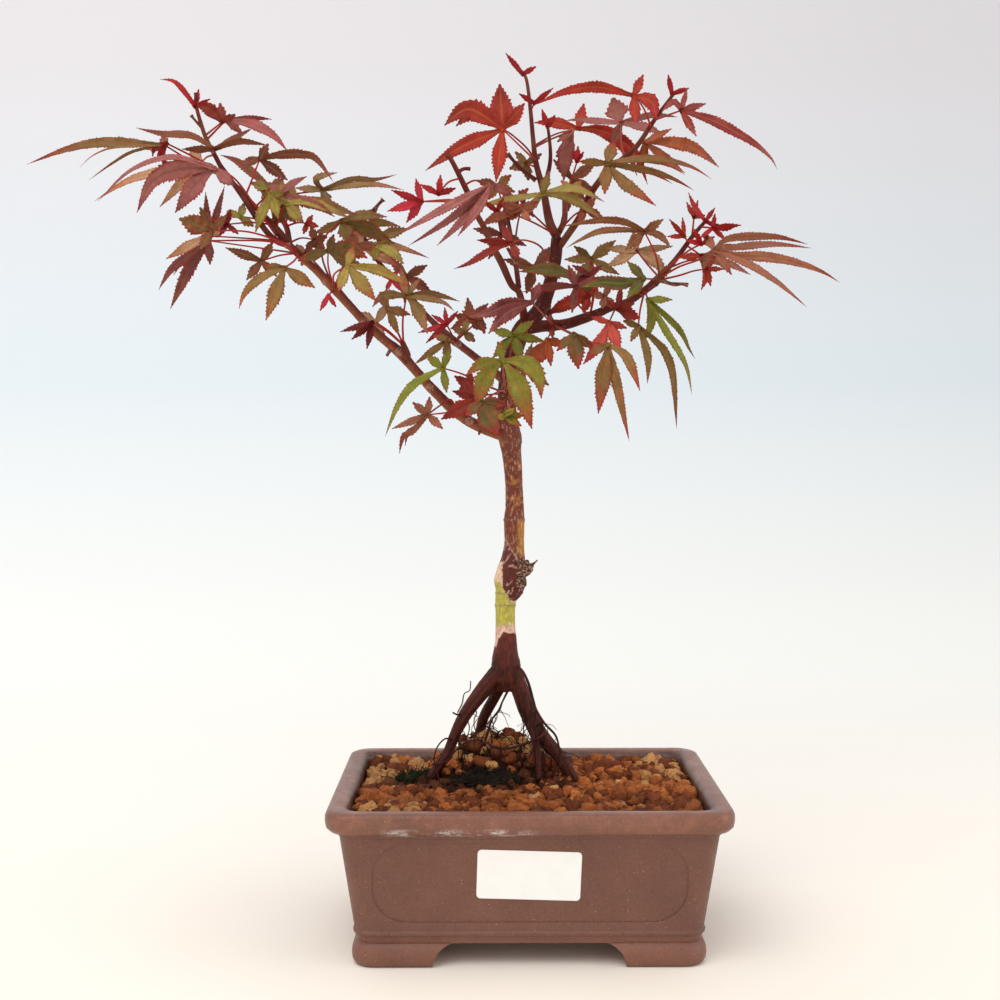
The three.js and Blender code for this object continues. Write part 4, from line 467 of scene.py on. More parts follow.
        ("crimson scarlet", (94, 370, -20), ((91, 366.5, -19),), ((3, -3, 88, 378, 85, 385),
         (2.6, 3, 99, 377), (3, -4, 104, 366, 111, 368))),
        ("scarlet crimson", (83, 362, -22), ((85, 359, -17),), ((2.8, -3, 75, 371), (2.6, -5, 74, 362),
         (2.4, 3, 82, 372))),
        ("crimson scarlet", (98, 366.5, -27), ((91.5, 367, -19),), ((3.4, -3, 113, 368),
         (2.6, 3, 99, 374), (2.8, 3, 105, 360), (2.6, -3, 91, 361))),
        ("scarlet crimson", (88, 372, -13), ((87, 362, -17.7),), ((2.6, 3, 84, 380), (2.4, 3, 90, 381),
         (2.4, 3, 94, 373))),
        ("crimson scarlet", (92, 358, -30), ((69, 339.8, -11), (78, 349, -18), (86, 355, -25)),
         ((3, -3, 88, 366), (2.8, 3, 99, 362), (2.8, -3, 84, 360))),
        ("scarlet crimson", (95, 345, -22), ((68.5, 339, -11), (80, 341.5, -16), (88, 344, -20)),
         ((3.4, -3, 97, 336), (2.8, 3, 104, 345), (2.6, 3, 99, 351))),
        ("tan mauve", (92, 350, -8), ((75, 345.5, -12.6), (84, 349, -10)), ((4.5, 6, 106, 348, 118, 342),
         (4, 6, 103, 356, 116, 357), (3.5, -3, 96, 343))),
        ("scarlet rust", (92, 352, -2), ((84, 357.5, -16),), ((4, 4, 80, 351),
         (4.5, -4, 95, 343, 92, 334), (4.5, 4, 100, 351))),
    )),
    "branch_mid_leaves": (((32, 319.8, 3, 2.55), (35, 320.9, 1.5, 2.45)), (
    ), (
        ("olive umber", (34, 350, 26), ((33.5, 320.4, 2.2), (36, 335, 14)), ((6, 4, 47, 360),
         (4.5, 3, 25, 357), (4.5, -3, 20, 350), (5, -6, 49, 342), (6, -6, 33, 336))),
        ("maroon purple", (33, 342, -6), ((33.5, 320.4, 2.2), (35, 332, -4)), ((3.5, -3, 24, 347),
         (3.5, -3, 40, 347), (3.5, -5, 25, 338))),
        ("purple umber", (26, 336, -17), ((33.5, 320.4, 2.2), (27, 327, -9)),
         ((4.5, -4, 15, 336, -2, 333), (4.5, -4, 44, 341), (5, -6, 24, 322), (5, 6, 22, 347))),
    )),
    "trunk_top_leaves": (((13.4, 342, 24.4, 3.5), (14.1, 345.5, 25, 3.5)), (
    ), (
        ("moss umber", (26, 339, 4), ((13.8, 343.8, 24.7), (20, 342, 12)),
         ((7.5, -6, 18, 343.5, 8, 345, -4, 343.5), (5, -4, 36, 333), (5, 4, 34, 350))),
        ("rust maroon", (-8, 358.5, -30), ((13.8, 343.8, 24.7), (8, 356, 0), (-1, 360, -18)),
         ((4.5, -5, -26, 360), (4, -10, -18, 355, -30, 348, -38, 345), (4.5, 5, -13, 369),
         (5, -6, -4, 350))),
        ("umber purple", (4, 346, 58), ((13.8, 343.8, 24.7), (9, 345, 42)), ((6, 6, -12, 350),
         (6, 8, 0, 332), (6, 8, 16, 358), (5, 10, 18, 340))),
    )),
    "inner_left_spray": ((), (
        ((-1, 318, 18, 2.4), (-2, 325, 12, 2), (-4, 333, 6, 1.8), (-8, 337, 3, 1.8), (-13, 348, -2, 2),
         (-18, 357, -5, 1.7), (-22, 366, -8, 1.6), (-27, 375, -10, 1.6), (-31, 385, -12, 1.6),
         (-39, 401, -14, 1.3), (-41.5, 404, -14, 1.6)),
        ((-36, 395, -13.4, 1.1), (-33, 397, -12, 0.9), (-29.5, 397, -11, 1)),
        ((-4, 335, 6, 1.5), (-6, 350, 10, 1.3), (-10, 372, 16, 1.1)),
    ), (
        ("mauve purple", (-18, 389, -32), ((-33, 388, -12), (-27, 391, -22)),
         ((5, -4, -42, 377, -69, 362), (4.5, -20, -40, 371, -62, 357), (5, -12, -32, 372, -47, 357),
         (5, -18, -25, 377, -36, 362), (5, -4, -8, 384))),
        ("crimson scarlet", (-46, 384, -26), ((-35, 392, -13), (-41, 390, -20)), ((3.5, -3, -45, 394),
         (3.5, -4, -56, 389), (3.5, 3, -37, 387))),
        ("pink crimson", (-55, 380, 0), ((-29, 380, -11), (-40, 381, -5)), ((4, -4, -71, 386),
         (5, -6, -73, 375), (4.5, -5, -63, 369), (4, 4, -58, 392)), (30, 0.9)),
        ("crimson scarlet", (-15.5, 375, 0), ((-10, 371.5, 16),), ((3, -3, -22, 380), (3, 3, -20, 369),
         (3, -3, -9, 371), (3, 3, -12, 382))),
        ("olive crimson", (-15, 388, 6), ((-9.9, 371.5, 16), (-13, 380, 10)), ((5.5, -4, -26, 391),
         (5, 4, -8, 394), (4.5, 4, -6, 385), (4, 4, -20, 381))),
        ("tan crimson", (-3, 376, -4), ((-6.5, 354, 11), (-5, 366, 4)), ((5, -4, -14, 379),
         (5, 4, 6, 380), (4.5, -3, 2, 370), (4, 3, -10, 370))),
        ("umber crimson", (-5, 381, 30), ((-9.6, 369, 15.6),), ((4, 4, -14, 385), (4, 4, 1, 387),
         (3.5, -4, -6, 373))),
        ("purple umber", (-13, 363, 34), ((-8.5, 362, 13),), ((5, 6, -28, 366), (5, 6, -20, 350),
         (5, 8, -12, 376), (5, 12, 0, 357))),
    )),
    "leader_spray": ((), (
        ((16, 361.5, 28, 2.6), (12, 370, 31, 2.4), (9, 385, 34, 1.9), (5, 400, 36, 1.6),
         (3.5, 412, 37, 1.3), (2, 428, 38, 1.1), (0, 443, 38, 0.9), (-3, 448, 38, 0.8)),
        ((9, 387, 34, 1.4), (12, 398, 29, 1.2), (12.5, 407, 24, 1), (11, 420, 18, 0.8)),
        ((5, 391, 34.5, 1.5), (0, 395, 34, 1), (-4, 398, 34, 1.3), (-7, 401.5, 33.5, 0.9),
         (-10, 405, 33, 1.3)),
        ((17, 364, 28.5, 1.7), (20, 371, 32, 1.6), (20, 383, 36, 1.4)),
    ), (
        ("scarlet rust", (-12.5, 417.5, 6), ((5, 401, 35), (0, 408, 24), (-8, 415, 12)),
         ((12, 6, -14, 441), (11, -4, -30, 428, -43, 419.5), (8, -12, -35, 408, -53, 396),
         (8, -14, -16, 390), (8, 6, -1, 431)), (70, 0.8)),
        ("crimson scarlet", (-2, 446, 38), ((0, 443, 38),), ((3, -2, -7, 452, -11, 457), (3, 4, 5, 450))),
        ("crimson scarlet", (4, 431, 34), ((2.2, 427, 38),), ((3, -3, 14, 439), (3, -4, -4, 436))),
        ("crimson scarlet", (11, 419, 18), ((11.4, 417, 19),), ((3, -3, 8, 428), (3, -2, 15, 425))),
        ("scarlet crimson", (27, 418, 50), ((4, 409, 37), (15, 415, 46)),
         ((7.5, 6, 39, 417, 50, 411.5, 58, 403, 63.5, 389), (6, 4, 15, 421, 4, 421), (6, 12, 30, 431)),
         (84, 0.85)),
        ("mauve umber", (24, 417, 44), ((4, 408, 37), (14, 413, 42)), ((9.5, 6, 20.5, 404, 19.5, 391),
         (4, 5, 16, 411))),
        ("olive umber", (0, 400, 48), ((4.6, 398, 36),), ((5.5, 6, -9, 397), (5, 4, 1, 391),
         (4.5, 6, 8, 405), (4, 4, -6, 406))),
        ("umber crimson", (-8, 374, -6), ((15, 363, 27.6), (4, 369, 10)), ((5, -4, -18, 371, -24, 367),
         (4, 4, -12, 380), (4, 3, -2, 379))),
        ("rust olive", (31, 376, 2), ((17, 364.5, 28.5), (25, 373, 12)), ((5, -4, 40, 372),
         (4.5, 4, 36, 382), (4, -4, 27, 368))),
        ("lime crimson", (24, 386, 14), ((17.5, 365.5, 29), (20, 376, 20)), ((4.5, -4, 31, 381),
         (4, 3, 29, 391), (4, 3, 18, 391))),
        ("maroon rust", (-1, 378, 18), ((15.4, 362.5, 28), (6, 371, 24)), ((4, -3, -9, 375),
         (3.5, 3, -4, 386), (3.5, -3, 4, 372))),
        ("crimson scarlet", (26.5, 401, 30), ((20.2, 383, 35.8), (24, 393, 33)), ((3, 2, 27, 409),
         (2.6, 2, 23.5, 407), (2.6, -2, 30, 406))),
        ("lime mauve", (8, 384, 8), ((9, 386, 33),), ((4, -8, -10, 381, -28, 377),
         (4.5, -2, 25, 387, 41, 380), (5, -14, 19, 383, 30, 378, 42, 369), (4.5, -8, -2, 372),
         (5, -4, 12, 396))),
        ("umber purple", (24, 392, 52), ((20, 381, 35.5),), ((6, 6, 36, 384), (6, 4, 36, 400),
         (5, 8, 22, 375), (5, 8, 14, 402))),
    )),
    "top_right_spray": ((), (
        ((17, 355.5, 26, 1.6), (20.5, 361, 23.5, 1.9), (28, 372, 20, 1.9), (33, 383, 14, 1.8),
         (40, 393, 6, 1.7), (46, 399, 2, 1.6), (57, 408, -5, 1.4), (68, 424, -12, 1.1),
         (77, 436, -18, 0.8)),
    ), (
        ("scarlet pink", (56, 435, -36), ((65, 419.5, -11), (61, 429, -24)),
         ((6, -8, 45, 438, 35, 439.5, 20, 437, 4, 430), (8, -6, 65, 432, 68, 423), (6.5, -10, 57, 421),
         (5, 6, 61, 446))),
        ("mauve umber", (49.5, 421, 22), ((51, 403, -1), (49.5, 412, 10)), ((12, 6, 45, 434),
         (3.5, -6, 28, 422.5, 20, 422), (5, -6, 65, 418, 72, 413), (3.5, 8, 66, 425, 79, 424),
         (6, 12, 44, 408))),
        ("rust mauve", (81, 427.5, -44), ((67, 422.5, -12), (74, 425, -30)),
         ((5.5, -12, 97, 422.5, 110, 416, 120, 410, 128, 403, 131.5, 397), (3.5, -6, 77, 432, 71, 427),
         (4.5, -16, 89, 414), (4, 14, 94, 431), (3, 18, 84, 439))),
        ("orange mauve", (62, 411, 14), ((54, 405.5, -4), (57, 409, 6)),
         ((7, 4, 75, 411, 88, 408, 101, 398), (5, 8, 83, 395), (5, 10, 61, 399), (4, -6, 76, 418))),
        ("olive crimson", (42, 400, -22), ((41, 394, 5),), ((7, 4, 46, 412),
         (4, -6, 60, 402.5, 75, 401.5, 87, 398, 97, 392), (4, -16, 65, 396, 77, 392, 88, 386),
         (6.5, -12, 50, 391, 58, 385, 68, 378), (4.5, -4, 27, 401), (7, -10, 41, 384)), (16, 0.75)),
        ("crimson scarlet", (76, 436, -18), ((74, 432, -16),), ((3, -3, 74, 446), (3, -3, 85, 439))),
    )),
}


# Shapes shared by the pieces.


def seen(x, z, y):
    """The place in the scene of a point that shows at x, z and lies at depth y."""
    k = (y - EYE.y) / SIGHT
    return CENTRE + MM * Vector((EYE.x + (x - EYE.x) * k, y, EYE.z + (z - EYE.z) * k))


def shown(x, y, z):
    """Where a point in mm from the pot's bottom centre shows, as x and z, with its depth."""
    k = (y - EYE.y) / SIGHT
    return EYE.x + (x - EYE.x) / k, EYE.z + (z - EYE.z) / k, y


def seen_again(place):
    """Where a place in the scene shows, as x and z in mm, with its depth."""
    return shown(*((place - CENTRE) / MM))


def smooth(points, count, measured=3):
    """count + 1 points at even steps along a smooth line through the points given."""
    points = [np.array(p, dtype=float) for p in points]
    if len(points) == 2:
        line = [points[0] + (points[1] - points[0]) * i / 16 for i in range(17)]
    else:
        line = []
        ends = [points[0]] + points + [points[-1]]
        for a, b, c, d in zip(ends, ends[1:], ends[2:], ends[3:]):
            for i in range(16):
                t = i / 16
                line.append(0.5 * (2 * b + (c - a) * t + (2 * a - 5 * b + 4 * c - d) * t * t
                                   + (3 * b - 3 * c + d - a) * t ** 3))
        line.append(points[-1])
    line = np.array(line)
    steps = np.linalg.norm(np.diff(line[:, :measured], axis=0), axis=1)
    reach = np.concatenate([[0], np.cumsum(steps)])
    wanted = np.linspace(0, reach[-1], count + 1)
    return np.stack([np.interp(wanted, reach, line[:, i]) for i in range(line.shape[1])], axis=1)


def line_length(points, measured=3):
    """Length of a line of points."""
    line = np.array(points, dtype=float)[:, :measured]
    return float(np.linalg.norm(np.diff(line, axis=0), axis=1).sum())


def deselect():
    """Leaves nothing selected."""
    bpy.ops.object.select_all(action="DESELECT")


def select(*objects):
    """Selects these objects, with the first one active."""
    deselect()
    for each in objects:
        each.select_set(True)
    bpy.context.view_layer.objects.active = objects[0]


def editing(action):
    """Runs action with all of the active object's mesh selected in edit mode."""
    bpy.ops.object.mode_set(mode="EDIT")
    bpy.ops.mesh.select_all(action="SELECT")
    action()
    bpy.ops.object.mode_set(mode="OBJECT")


def outward(piece):
    """Turns a piece's faces outward."""
    select(piece)
    editing(lambda: bpy.ops.mesh.normals_make_consistent(inside=False))


def moved(piece, *moves):
    """Turns and shifts a piece's points. A move is an axis with its angle, or a shift."""
    def run():
        for move in moves:
            if len(move) == 3:
                bpy.ops.transform.translate(value=move)
            else:
                bpy.ops.transform.rotate(value=move[1], orient_axis=move[0], center_override=(0, 0, 0))

    select(piece)
    editing(run)


def added(name):
    """The object that the last operator added, renamed."""
    piece = bpy.context.active_object
    piece.name = piece.data.name = name
    return piece


def settle(piece):
    """Moves a piece's place and turn into its mesh."""
    select(piece)
    bpy.ops.object.transform_apply(location=True, rotation=True, scale=True)


def joined(name, *parts):
    """One object made of several."""
    select(*parts)
    bpy.ops.object.join()
    return added(name)


def cut(piece, tool, operation="DIFFERENCE"):
    """Cuts the tool out of the piece, or adds it, and removes the tool."""
    change = piece.modifiers.new("cut", "BOOLEAN")
    change.operation = operation
    change.solver = "EXACT"
    change.object = tool
    select(piece)
    bpy.ops.object.modifier_apply(modifier=change.name)
    bpy.data.objects.remove(tool)


def placed(name, data):
    """A new object of this data in the scene."""
    piece = bpy.data.objects.new(name, data)
    bpy.context.scene.collection.objects.link(piece)
    return piece


def from_lists(name, points, faces):
    """A smooth mesh object made of points and faces."""
    mesh = bpy.data.meshes.new(name)
    mesh.from_pydata([tuple(p) for p in points], [], faces)
    mesh.polygons.foreach_set("use_smooth", [True] * len(mesh.polygons))
    return placed(name, mesh)


def paint(mesh, name, colours):
    """Writes a colour for each point of a mesh."""
    layer = mesh.color_attributes.new(name=name, type="FLOAT_COLOR", domain="POINT")
    values = np.ones((len(mesh.vertices), 4), dtype=np.float32)
    values[:, :3] = colours
    layer.data.foreach_set("color", values.ravel())


def points_of(mesh):
    """The points of a mesh as an array."""
    values = np.empty(len(mesh.vertices) * 3, dtype=np.float32)
    mesh.vertices.foreach_get("co", values)
    return values.reshape(-1, 3)


def round_lines(name, lines, thickness, resolution):
    """Closed tubes along lines of places, each place with its share of the thickness."""
    curve = bpy.data.curves.new(name, "CURVE")
    curve.dimensions = "3D"
    curve.bevel_depth = thickness
    curve.bevel_resolution = resolution
    curve.use_fill_caps = True
    for line in lines:
        spline = curve.splines.new("POLY")
        spline.points.add(len(line) - 1)
        for point, (place, share) in zip(spline.points, line):
            point.co = (*place, 1)
            point.radius = share
    select(placed(name, curve))
    bpy.ops.object.convert(target="MESH")
    piece = added(name)
    editing(lambda: bpy.ops.mesh.remove_doubles(threshold=SAME_SPOT))
    outward(piece)
    return piece


def tubes(name, paths, sides, step):
    """Round limbs along seen paths with a radius at each point, closed at both ends."""
    lines = []
    for path in paths:
        count = max(2, round(line_length(path) / step))
        lines.append([(seen(*spot[:3]), spot[3]) for spot in smooth(path, count)])
    return round_lines(name, lines, MM, sides // 2 - 2)


def rounded_plate(name, length, width, radius, low, rings, segments=10):
    """A rounded rectangle raised ring by ring. Each ring is half its length, half its width, height."""
    def raise_rings():
        bpy.ops.transform.resize(value=(length, width, 1), center_override=(0, 0, 0))
        bpy.ops.transform.translate(value=(0, 0, low))
        bpy.ops.mesh.bevel(offset=radius, segments=segments, affect="VERTICES")
        bpy.ops.mesh.select_all(action="SELECT")
        half_x, half_y, z = length / 2, width / 2, low
        for next_x, next_y, next_z in rings:
            bpy.ops.mesh.extrude_region_move(TRANSFORM_OT_translate={"value": (0, 0, next_z - z)})
            bpy.ops.transform.resize(value=(next_x / half_x, next_y / half_y, 1),
                                     center_override=(0, 0, next_z))
            half_x, half_y, z = next_x, next_y, next_z

    bpy.ops.mesh.primitive_plane_add(size=1, location=(0, 0, 0))
    plate = added(name)
    editing(raise_rings)
    outward(plate)
    return plate


# Materials.


class Shade:
    """A material with short ways to add nodes to it."""

    def __init__(self, name, roughness, specular):
        self.material = bpy.data.materials.new(name)
        self.material.use_nodes = True
        self.tree = self.material.node_tree
        self.shader = self.tree.nodes["Principled BSDF"]
        self.fill(self.shader, {"Roughness": roughness, "Specular IOR Level": specular})
        self.place = self.tree.nodes.new("ShaderNodeTexCoord").outputs["Object"]

    def fill(self, node, values):
        """Gives a node's inputs a value or another node's output. None leaves one as it is."""
        for key, value in values.items():
            socket = node.inputs[key]
            if isinstance(value, bpy.types.NodeSocket):
                self.tree.links.new(value, socket)
            elif value is not None:
                flat = socket.type == "RGBA" and len(value) == 3
                socket.default_value = (*value, 1) if flat else value

    def node(self, kind, values, **choices):
        """The outputs of a new node."""
        node = self.tree.nodes.new("ShaderNode" + kind)
        for key, choice in choices.items():
            setattr(node, key, choice)
        self.fill(node, values)
        return node.outputs

    def noise(self, scale, detail=4, roughness=0.6, place=None):
        """Soft noise from 0 to 1 over the piece."""
        return self.node("TexNoise", {"Vector": place or self.place, "Scale": scale, "Detail": detail,
                                      "Roughness": roughness})["Fac"]

    def stretched(self, x, y, z):
        """The place on the piece, scaled along each axis."""
        return self.node("Mapping", {"Vector": self.place, "Scale": (x, y, z)})["Vector"]

    def part(self, vector=None):
        """The x, y and z of a vector, or of the place on the piece."""
        return self.node("SeparateXYZ", {0: vector or self.place})[:3]

    def math(self, operation, first, second=None):
        """The result of one step of arithmetic."""
        return self.node("Math", {0: first, 1: second}, operation=operation)[0]

    def times(self, value, *others):
        """The product of values."""
        for other in others:
            value = self.math("MULTIPLY", value, other)
        return value

    def step(self, value, low, high, start=0.0, end=1.0):
        """From start where the value is low to end where it is high."""
        return self.node("MapRange", dict(enumerate((value, low, high, start, end))))[0]

    def mix(self, share, first, second):
        """The first colour turned to the second by a share."""
        return self.node("Mix", {0: share, 6: first, 7: second}, data_type="RGBA")[2]

    def attribute(self, name):
        """The colour that was painted on the points."""
        return self.node("Attribute", {}, attribute_name=name)["Color"]

    def bright(self, tone, share):
        """The tone times a share."""
        return self.node("VectorMath", {0: tone, "Scale": share}, operation="SCALE")[0]

    def uneven(self, tone, low, high, *grain):
        """The tone times low to high, by a noise of this scale, detail and roughness."""
        return self.bright(tone, self.step(self.noise(*grain), 0.3, 0.7, low, high))

    def bump(self, height, distance, strength=1.0, over=None):
        """A fine relief, also over another one."""
        return self.node("Bump", {"Strength": strength, "Distance": distance, "Height": height,
                                  "Normal": over})[0]

    def finish(self, piece, tone, normal=None, roughness=None):
        """Puts the material on a piece."""
        self.fill(self.shader, {"Base Color": tone, "Normal": normal, "Roughness": roughness})
        piece.data.materials.clear()
        piece.data.materials.append(self.material)


def hand_over(piece, slot, *nodes):
    """Puts a finished piece at the origin under the root body and hides the part's nodes that it replaces.
    """
    piece.location = (0, 0, 0)
    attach(piece, "root")
    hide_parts(*nodes)


# The pot. A ring of it is how far it lies inside the widest outline, and its height, in mm: from the
# ground, or from the top of the rim where it isn't above 0.

POT_RINGS = ((14.6, 11.9), (13.7, 13.4), (13.3, 15.6), (12.5, 16.2), (12.3, 17.4), (12.9, 18.4),
             (6.3, -13.4), (5.6, -12.9), (5.3, -11.3), (4.6, -10.9), (2.1, -10.2), (0.5, -8.2),
             (0, -5.2), (0.1, -2.4), (0.8, -0.8), (2, -0.1), (5, 0), (7.8, -0.2), (9.6, -1.3),
             (10.8, -3.4), (11.2, -7), (13, -30), (18, 20))
FOOT_RINGS = ((1.2, 0.9), (0.3, 2.8), (0, 5.5), (0.3, 8.4), (1.5, 10.8), (3, 12.4))
UNDERSIDE_Z, UNDERSIDE_GAP, POT_CORNER = 11, 17, 9
FOOT_GAP_X, FOOT_GAP_Y, SOLE_GAP, FOOT_CORNER = 11.6, 12.4, 3, 10
# The passages between the feet: half their lengths along both walls, their height and their corners.
PASSAGES, PASSAGE_HIGH, PASSAGE_CORNER, PASS_FAR = (47, 28), 12, 11.9, 100
# A wall spreads by WALL_SPREAD over the pot's height less WALL_ENDS. Its top is WALL_TOP under the rim.
WALL_SPREAD, WALL_ENDS, WALL_TOP, WALL_TOP_GAP = 7.5, 27.4, 13.4, 6.3
PANEL_Z, PANEL_LONG, PANEL_SHORT, PANEL_HIGH, PANEL_CORNER = 43, 76, 49, 20.5, 17
# The tool that sinks a panel widens by PANEL_FLARE up to PANEL_OUT outside the wall.
PANEL_FLARE, PANEL_OUT = 6, 3
LABEL_LONG, LABEL_HIGH, LABEL_CORNER, LABEL_THICK, LABEL_EDGE = 25, 12.5, 2, 0.2, 0.1
LABEL_X, LABEL_Z, LABEL_SUNK, LABEL_TILT = -0.5, 46.8, 0.05, math.radians(1.8)
# Points this close are made one before the edges are rounded.
WELD, EDGE_ROUND = 0.02, 0.8
PIT_DARK = (0.02, 0.015, 0.012)


def pot_body(settings):
    """The pot without its panels: walls, lip and the hollow for the soil."""
    x, y = settings.rim_length / 2, settings.rim_width / 2
    rings = [(x - gap * MM, y - gap * MM, z * MM if z > 0 else settings.height + z * MM)
             for gap, z in POT_RINGS]
    return rounded_plate("pot", 2 * (x - UNDERSIDE_GAP * MM), 2 * (y - UNDERSIDE_GAP * MM),
                         POT_CORNER * MM, UNDERSIDE_Z * MM, rings)


def pot_feet(settings):
    """Four corner feet: a block with a round-topped passage cut through it both ways."""
    x, y = settings.rim_length / 2 - FOOT_GAP_X * MM, settings.rim_width / 2 - FOOT_GAP_Y * MM
    rings = [(x - gap * MM, y - gap * MM, z * MM) for gap, z in FOOT_RINGS]
    block = rounded_plate("feet", 2 * (x - SOLE_GAP * MM), 2 * (y - SOLE_GAP * MM), FOOT_CORNER * MM, 0,
                          rings)
    for half, turn in zip(PASSAGES, (0, math.pi / 2)):
        passage = rounded_plate("passage", 2 * half * MM, 2 * PASSAGE_HIGH * MM, PASSAGE_CORNER * MM,
                                -PASS_FAR * MM, [(half * MM, PASSAGE_HIGH * MM, PASS_FAR * MM)])
        moved(passage, ("X", math.pi / 2), ("Z", turn))
        cut(block, passage)
    return block


def wall_lean(settings):
    """How far the walls lean out, as an angle."""
    return math.atan2(WALL_SPREAD, settings.height / MM - WALL_ENDS)


def wall_place(settings, half, z):
    """How far a wall's outside is from the pot's middle at height z. The rim's half size is given."""
    under = settings.height - WALL_TOP * MM - z
    return half - WALL_TOP_GAP * MM - under * math.tan(wall_lean(settings))


def sink_panels(pot, settings):
    """Sinks a round-ended panel into each of the four leaning walls."""
    middle = PANEL_Z * MM
    front, side = (PANEL_LONG, settings.rim_width / 2), (PANEL_SHORT, settings.rim_length / 2)
    for (half, out), turn in ((front, 0), (front, math.pi), (side, math.pi / 2), (side, -math.pi / 2)):
        face = (half * MM, PANEL_HIGH * MM, 0)
        outside = ((half + PANEL_FLARE) * MM, (PANEL_HIGH + PANEL_FLARE) * MM, PANEL_OUT * MM)
        panel = rounded_plate("panel", 2 * half * MM, 2 * PANEL_HIGH * MM, PANEL_CORNER * MM,
                              -settings.panel_depth, [face, outside])
        moved(panel, ("X", -(math.pi / 2 + wall_lean(settings))),
              (0, -wall_place(settings, out, middle), middle), ("Z", turn))
        cut(pot, panel)


def clay_material(pot, settings):
    """Unglazed brown stoneware with specks, a worn rim and lime along the lip's lower edge, with painted
    shade on the inner walls and painted highlights on the lip and the feet.
    """
    shade = Shade("clay", roughness=0.5, specular=0.45)
    x, y, z = shade.part()
    top = POT_HIGH.z

    def rise(value, start, low, high):
        """From 0 at low to 1 at high, both in mm past the start."""
        return shade.step(value, start + low * MM, start + high * MM)

    base = shade.mix(shade.step(shade.noise(30, 5), 0.25, 0.75), settings.clay_dark, settings.clay)
    base = shade.uneven(base, 0.82, 1.16, 900, 3, 0.7)
    # Painted shade: this mask darkens the clay of the inner walls above the soil to 0.42 of its tone.
    hollow = rise(z, top, -13, -12)
    for value, middle, rim in ((x, CENTRE.x, settings.rim_length), (y, CENTRE.y, settings.rim_width)):
        gap = shade.math("ABSOLUTE", shade.math("SUBTRACT", value, middle))
        hollow = shade.times(hollow, rise(gap, rim / 2, -8, -10))
    lip = rise(z, top, -12, -9)
    # This loop puts the painted shade on the inner walls and painted highlights on the lip (1.26) and the
    # feet (1.25), as if lit from above.
    for part, light in ((hollow, 0.42), (lip, 1.26), (rise(z, 0, 16, 12), 1.25)):
        base = shade.bright(base, shade.step(part, 0, 1, 1, light))
    wear = shade.times(lip, shade.step(shade.noise(120, 4), 0.5, 0.66))
    specks = shade.step(shade.noise(1300, 1, 0.5), 0.76, 0.79)
    pits = shade.step(shade.noise(1100, 1, 0.4), 0.27, 0.24)
    crust = shade.step(shade.noise(70, 3, 0.6, shade.stretched(0.7, 1, 1.2)), 0.42, 0.5)
    flecks = shade.step(shade.noise(420, 5, 0.8), 0.42, 0.5)
    lime = shade.times(rise(y, POT_LOW.y, 9, 5), rise(z, top, -12, -10.6), rise(z, top, -6.6, -9),
                       rise(x, CENTRE.x, -72, -62), rise(x, CENTRE.x, 5, -12), crust, flecks)
    for marks, share, tone in ((wear, 0.3, settings.worn), (specks, 0.6, settings.lime),
                               (pits, 0.5, PIT_DARK), (lime, 0.85, settings.lime)):
        base = shade.mix(shade.times(marks, share), base, tone)
    normal = shade.bump(shade.noise(1300, 3, 0.7), 0.00025, 0.5,
                        shade.bump(shade.noise(60, 4), 0.0008, 0.35))
    rough = shade.math("SUBTRACT", shade.step(shade.noise(90, 3), 0.3, 0.7, 0.42, 0.6),
                       shade.times(lip, 0.16))
    shade.finish(pot, base, normal, rough)


class BONSAI_OT_pot(bpy.types.Operator):
    """Adds the clay pot with its lip, sunk panels and four feet"""

    bl_idname = "bonsai.pot"
    bl_label = "Pot"
    bl_options = {"REGISTER", "UNDO"}

    def execute(self, context):
        settings = context.scene.bonsai_pot
        deselect()
        body = pot_body(settings)
        sink_panels(body, settings)
        cut(body, pot_feet(settings), "UNION")
        pot = added("pot_piece")
        editing(lambda: bpy.ops.mesh.remove_doubles(threshold=WELD * MM))
        soften = pot.modifiers.new("soften", "BEVEL")
        soften.width = EDGE_ROUND * MM
        soften.segments = 3
        soften.limit_method = "ANGLE"
        soften.angle_limit = math.radians(34)
        soften.harden_normals = False
        bpy.ops.object.modifier_apply(modifier=soften.name)
        pot.location = CENTRE
        settle(pot)
        outward(pot)
        bpy.ops.object.shade_smooth_by_angle(angle=math.radians(40))
        clay_material(pot, settings)
        hand_over(pot, "pot_clay", "pot")
        return {"FINISHED"}


class BONSAI_OT_label(bpy.types.Operator):
    """Adds the blank white sticker on the front wall"""

    bl_idname = "bonsai.label"
    bl_label = "Label"
    bl_options = {"REGISTER", "UNDO"}

    def execute(self, context):
        settings = context.scene.bonsai_pot
        deselect()
        x, y, rim = LABEL_LONG * MM, LABEL_HIGH * MM, LABEL_EDGE * MM
        sticker = rounded_plate("label_piece", 2 * x, 2 * y, LABEL_CORNER * MM, 0,
                                [(x, y, 0.8 * LABEL_THICK * MM), (x - rim, y - rim, LABEL_THICK * MM)], 6)
        middle = LABEL_Z * MM
        wall = wall_place(settings, settings.rim_width / 2, middle) - settings.panel_depth
        moved(sticker, ("Z", LABEL_TILT), ("X", -(math.pi / 2 + wall_lean(settings))),
              (CENTRE.x + LABEL_X * MM, CENTRE.y - wall - LABEL_SUNK * MM, middle))
        outward(sticker)
        shade = Shade("label_paper", roughness=0.42, specular=0.4)
        shade.finish(sticker, shade.uneven(tuple(settings.label), 0.96, 1.0, 160, 3),
                     shade.bump(shade.noise(120, 2), 0.0002, 0.15))
        hand_over(sticker, "label_paper", "label")
        return {"FINISHED"}


class BONSAI_OT_screens(bpy.types.Operator):
    """Gives the drainage screens their plastic"""

    bl_idname = "bonsai.screens"
    bl_label = "Drainage screens"
    bl_options = {"REGISTER", "UNDO"}

    def execute(self, context):
        tone = tuple(context.scene.bonsai_pot.screen)
        for name in ("drainage_screen_left", "drainage_screen_right"):
            shade = Shade(name + "_plastic", roughness=0.55, specular=0.4)
            shade.finish(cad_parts[name], shade.uneven(tone, 0.9, 1.1, 300))
        return {"FINISHED"}


# The soil, in mm from the pot's bottom centre.

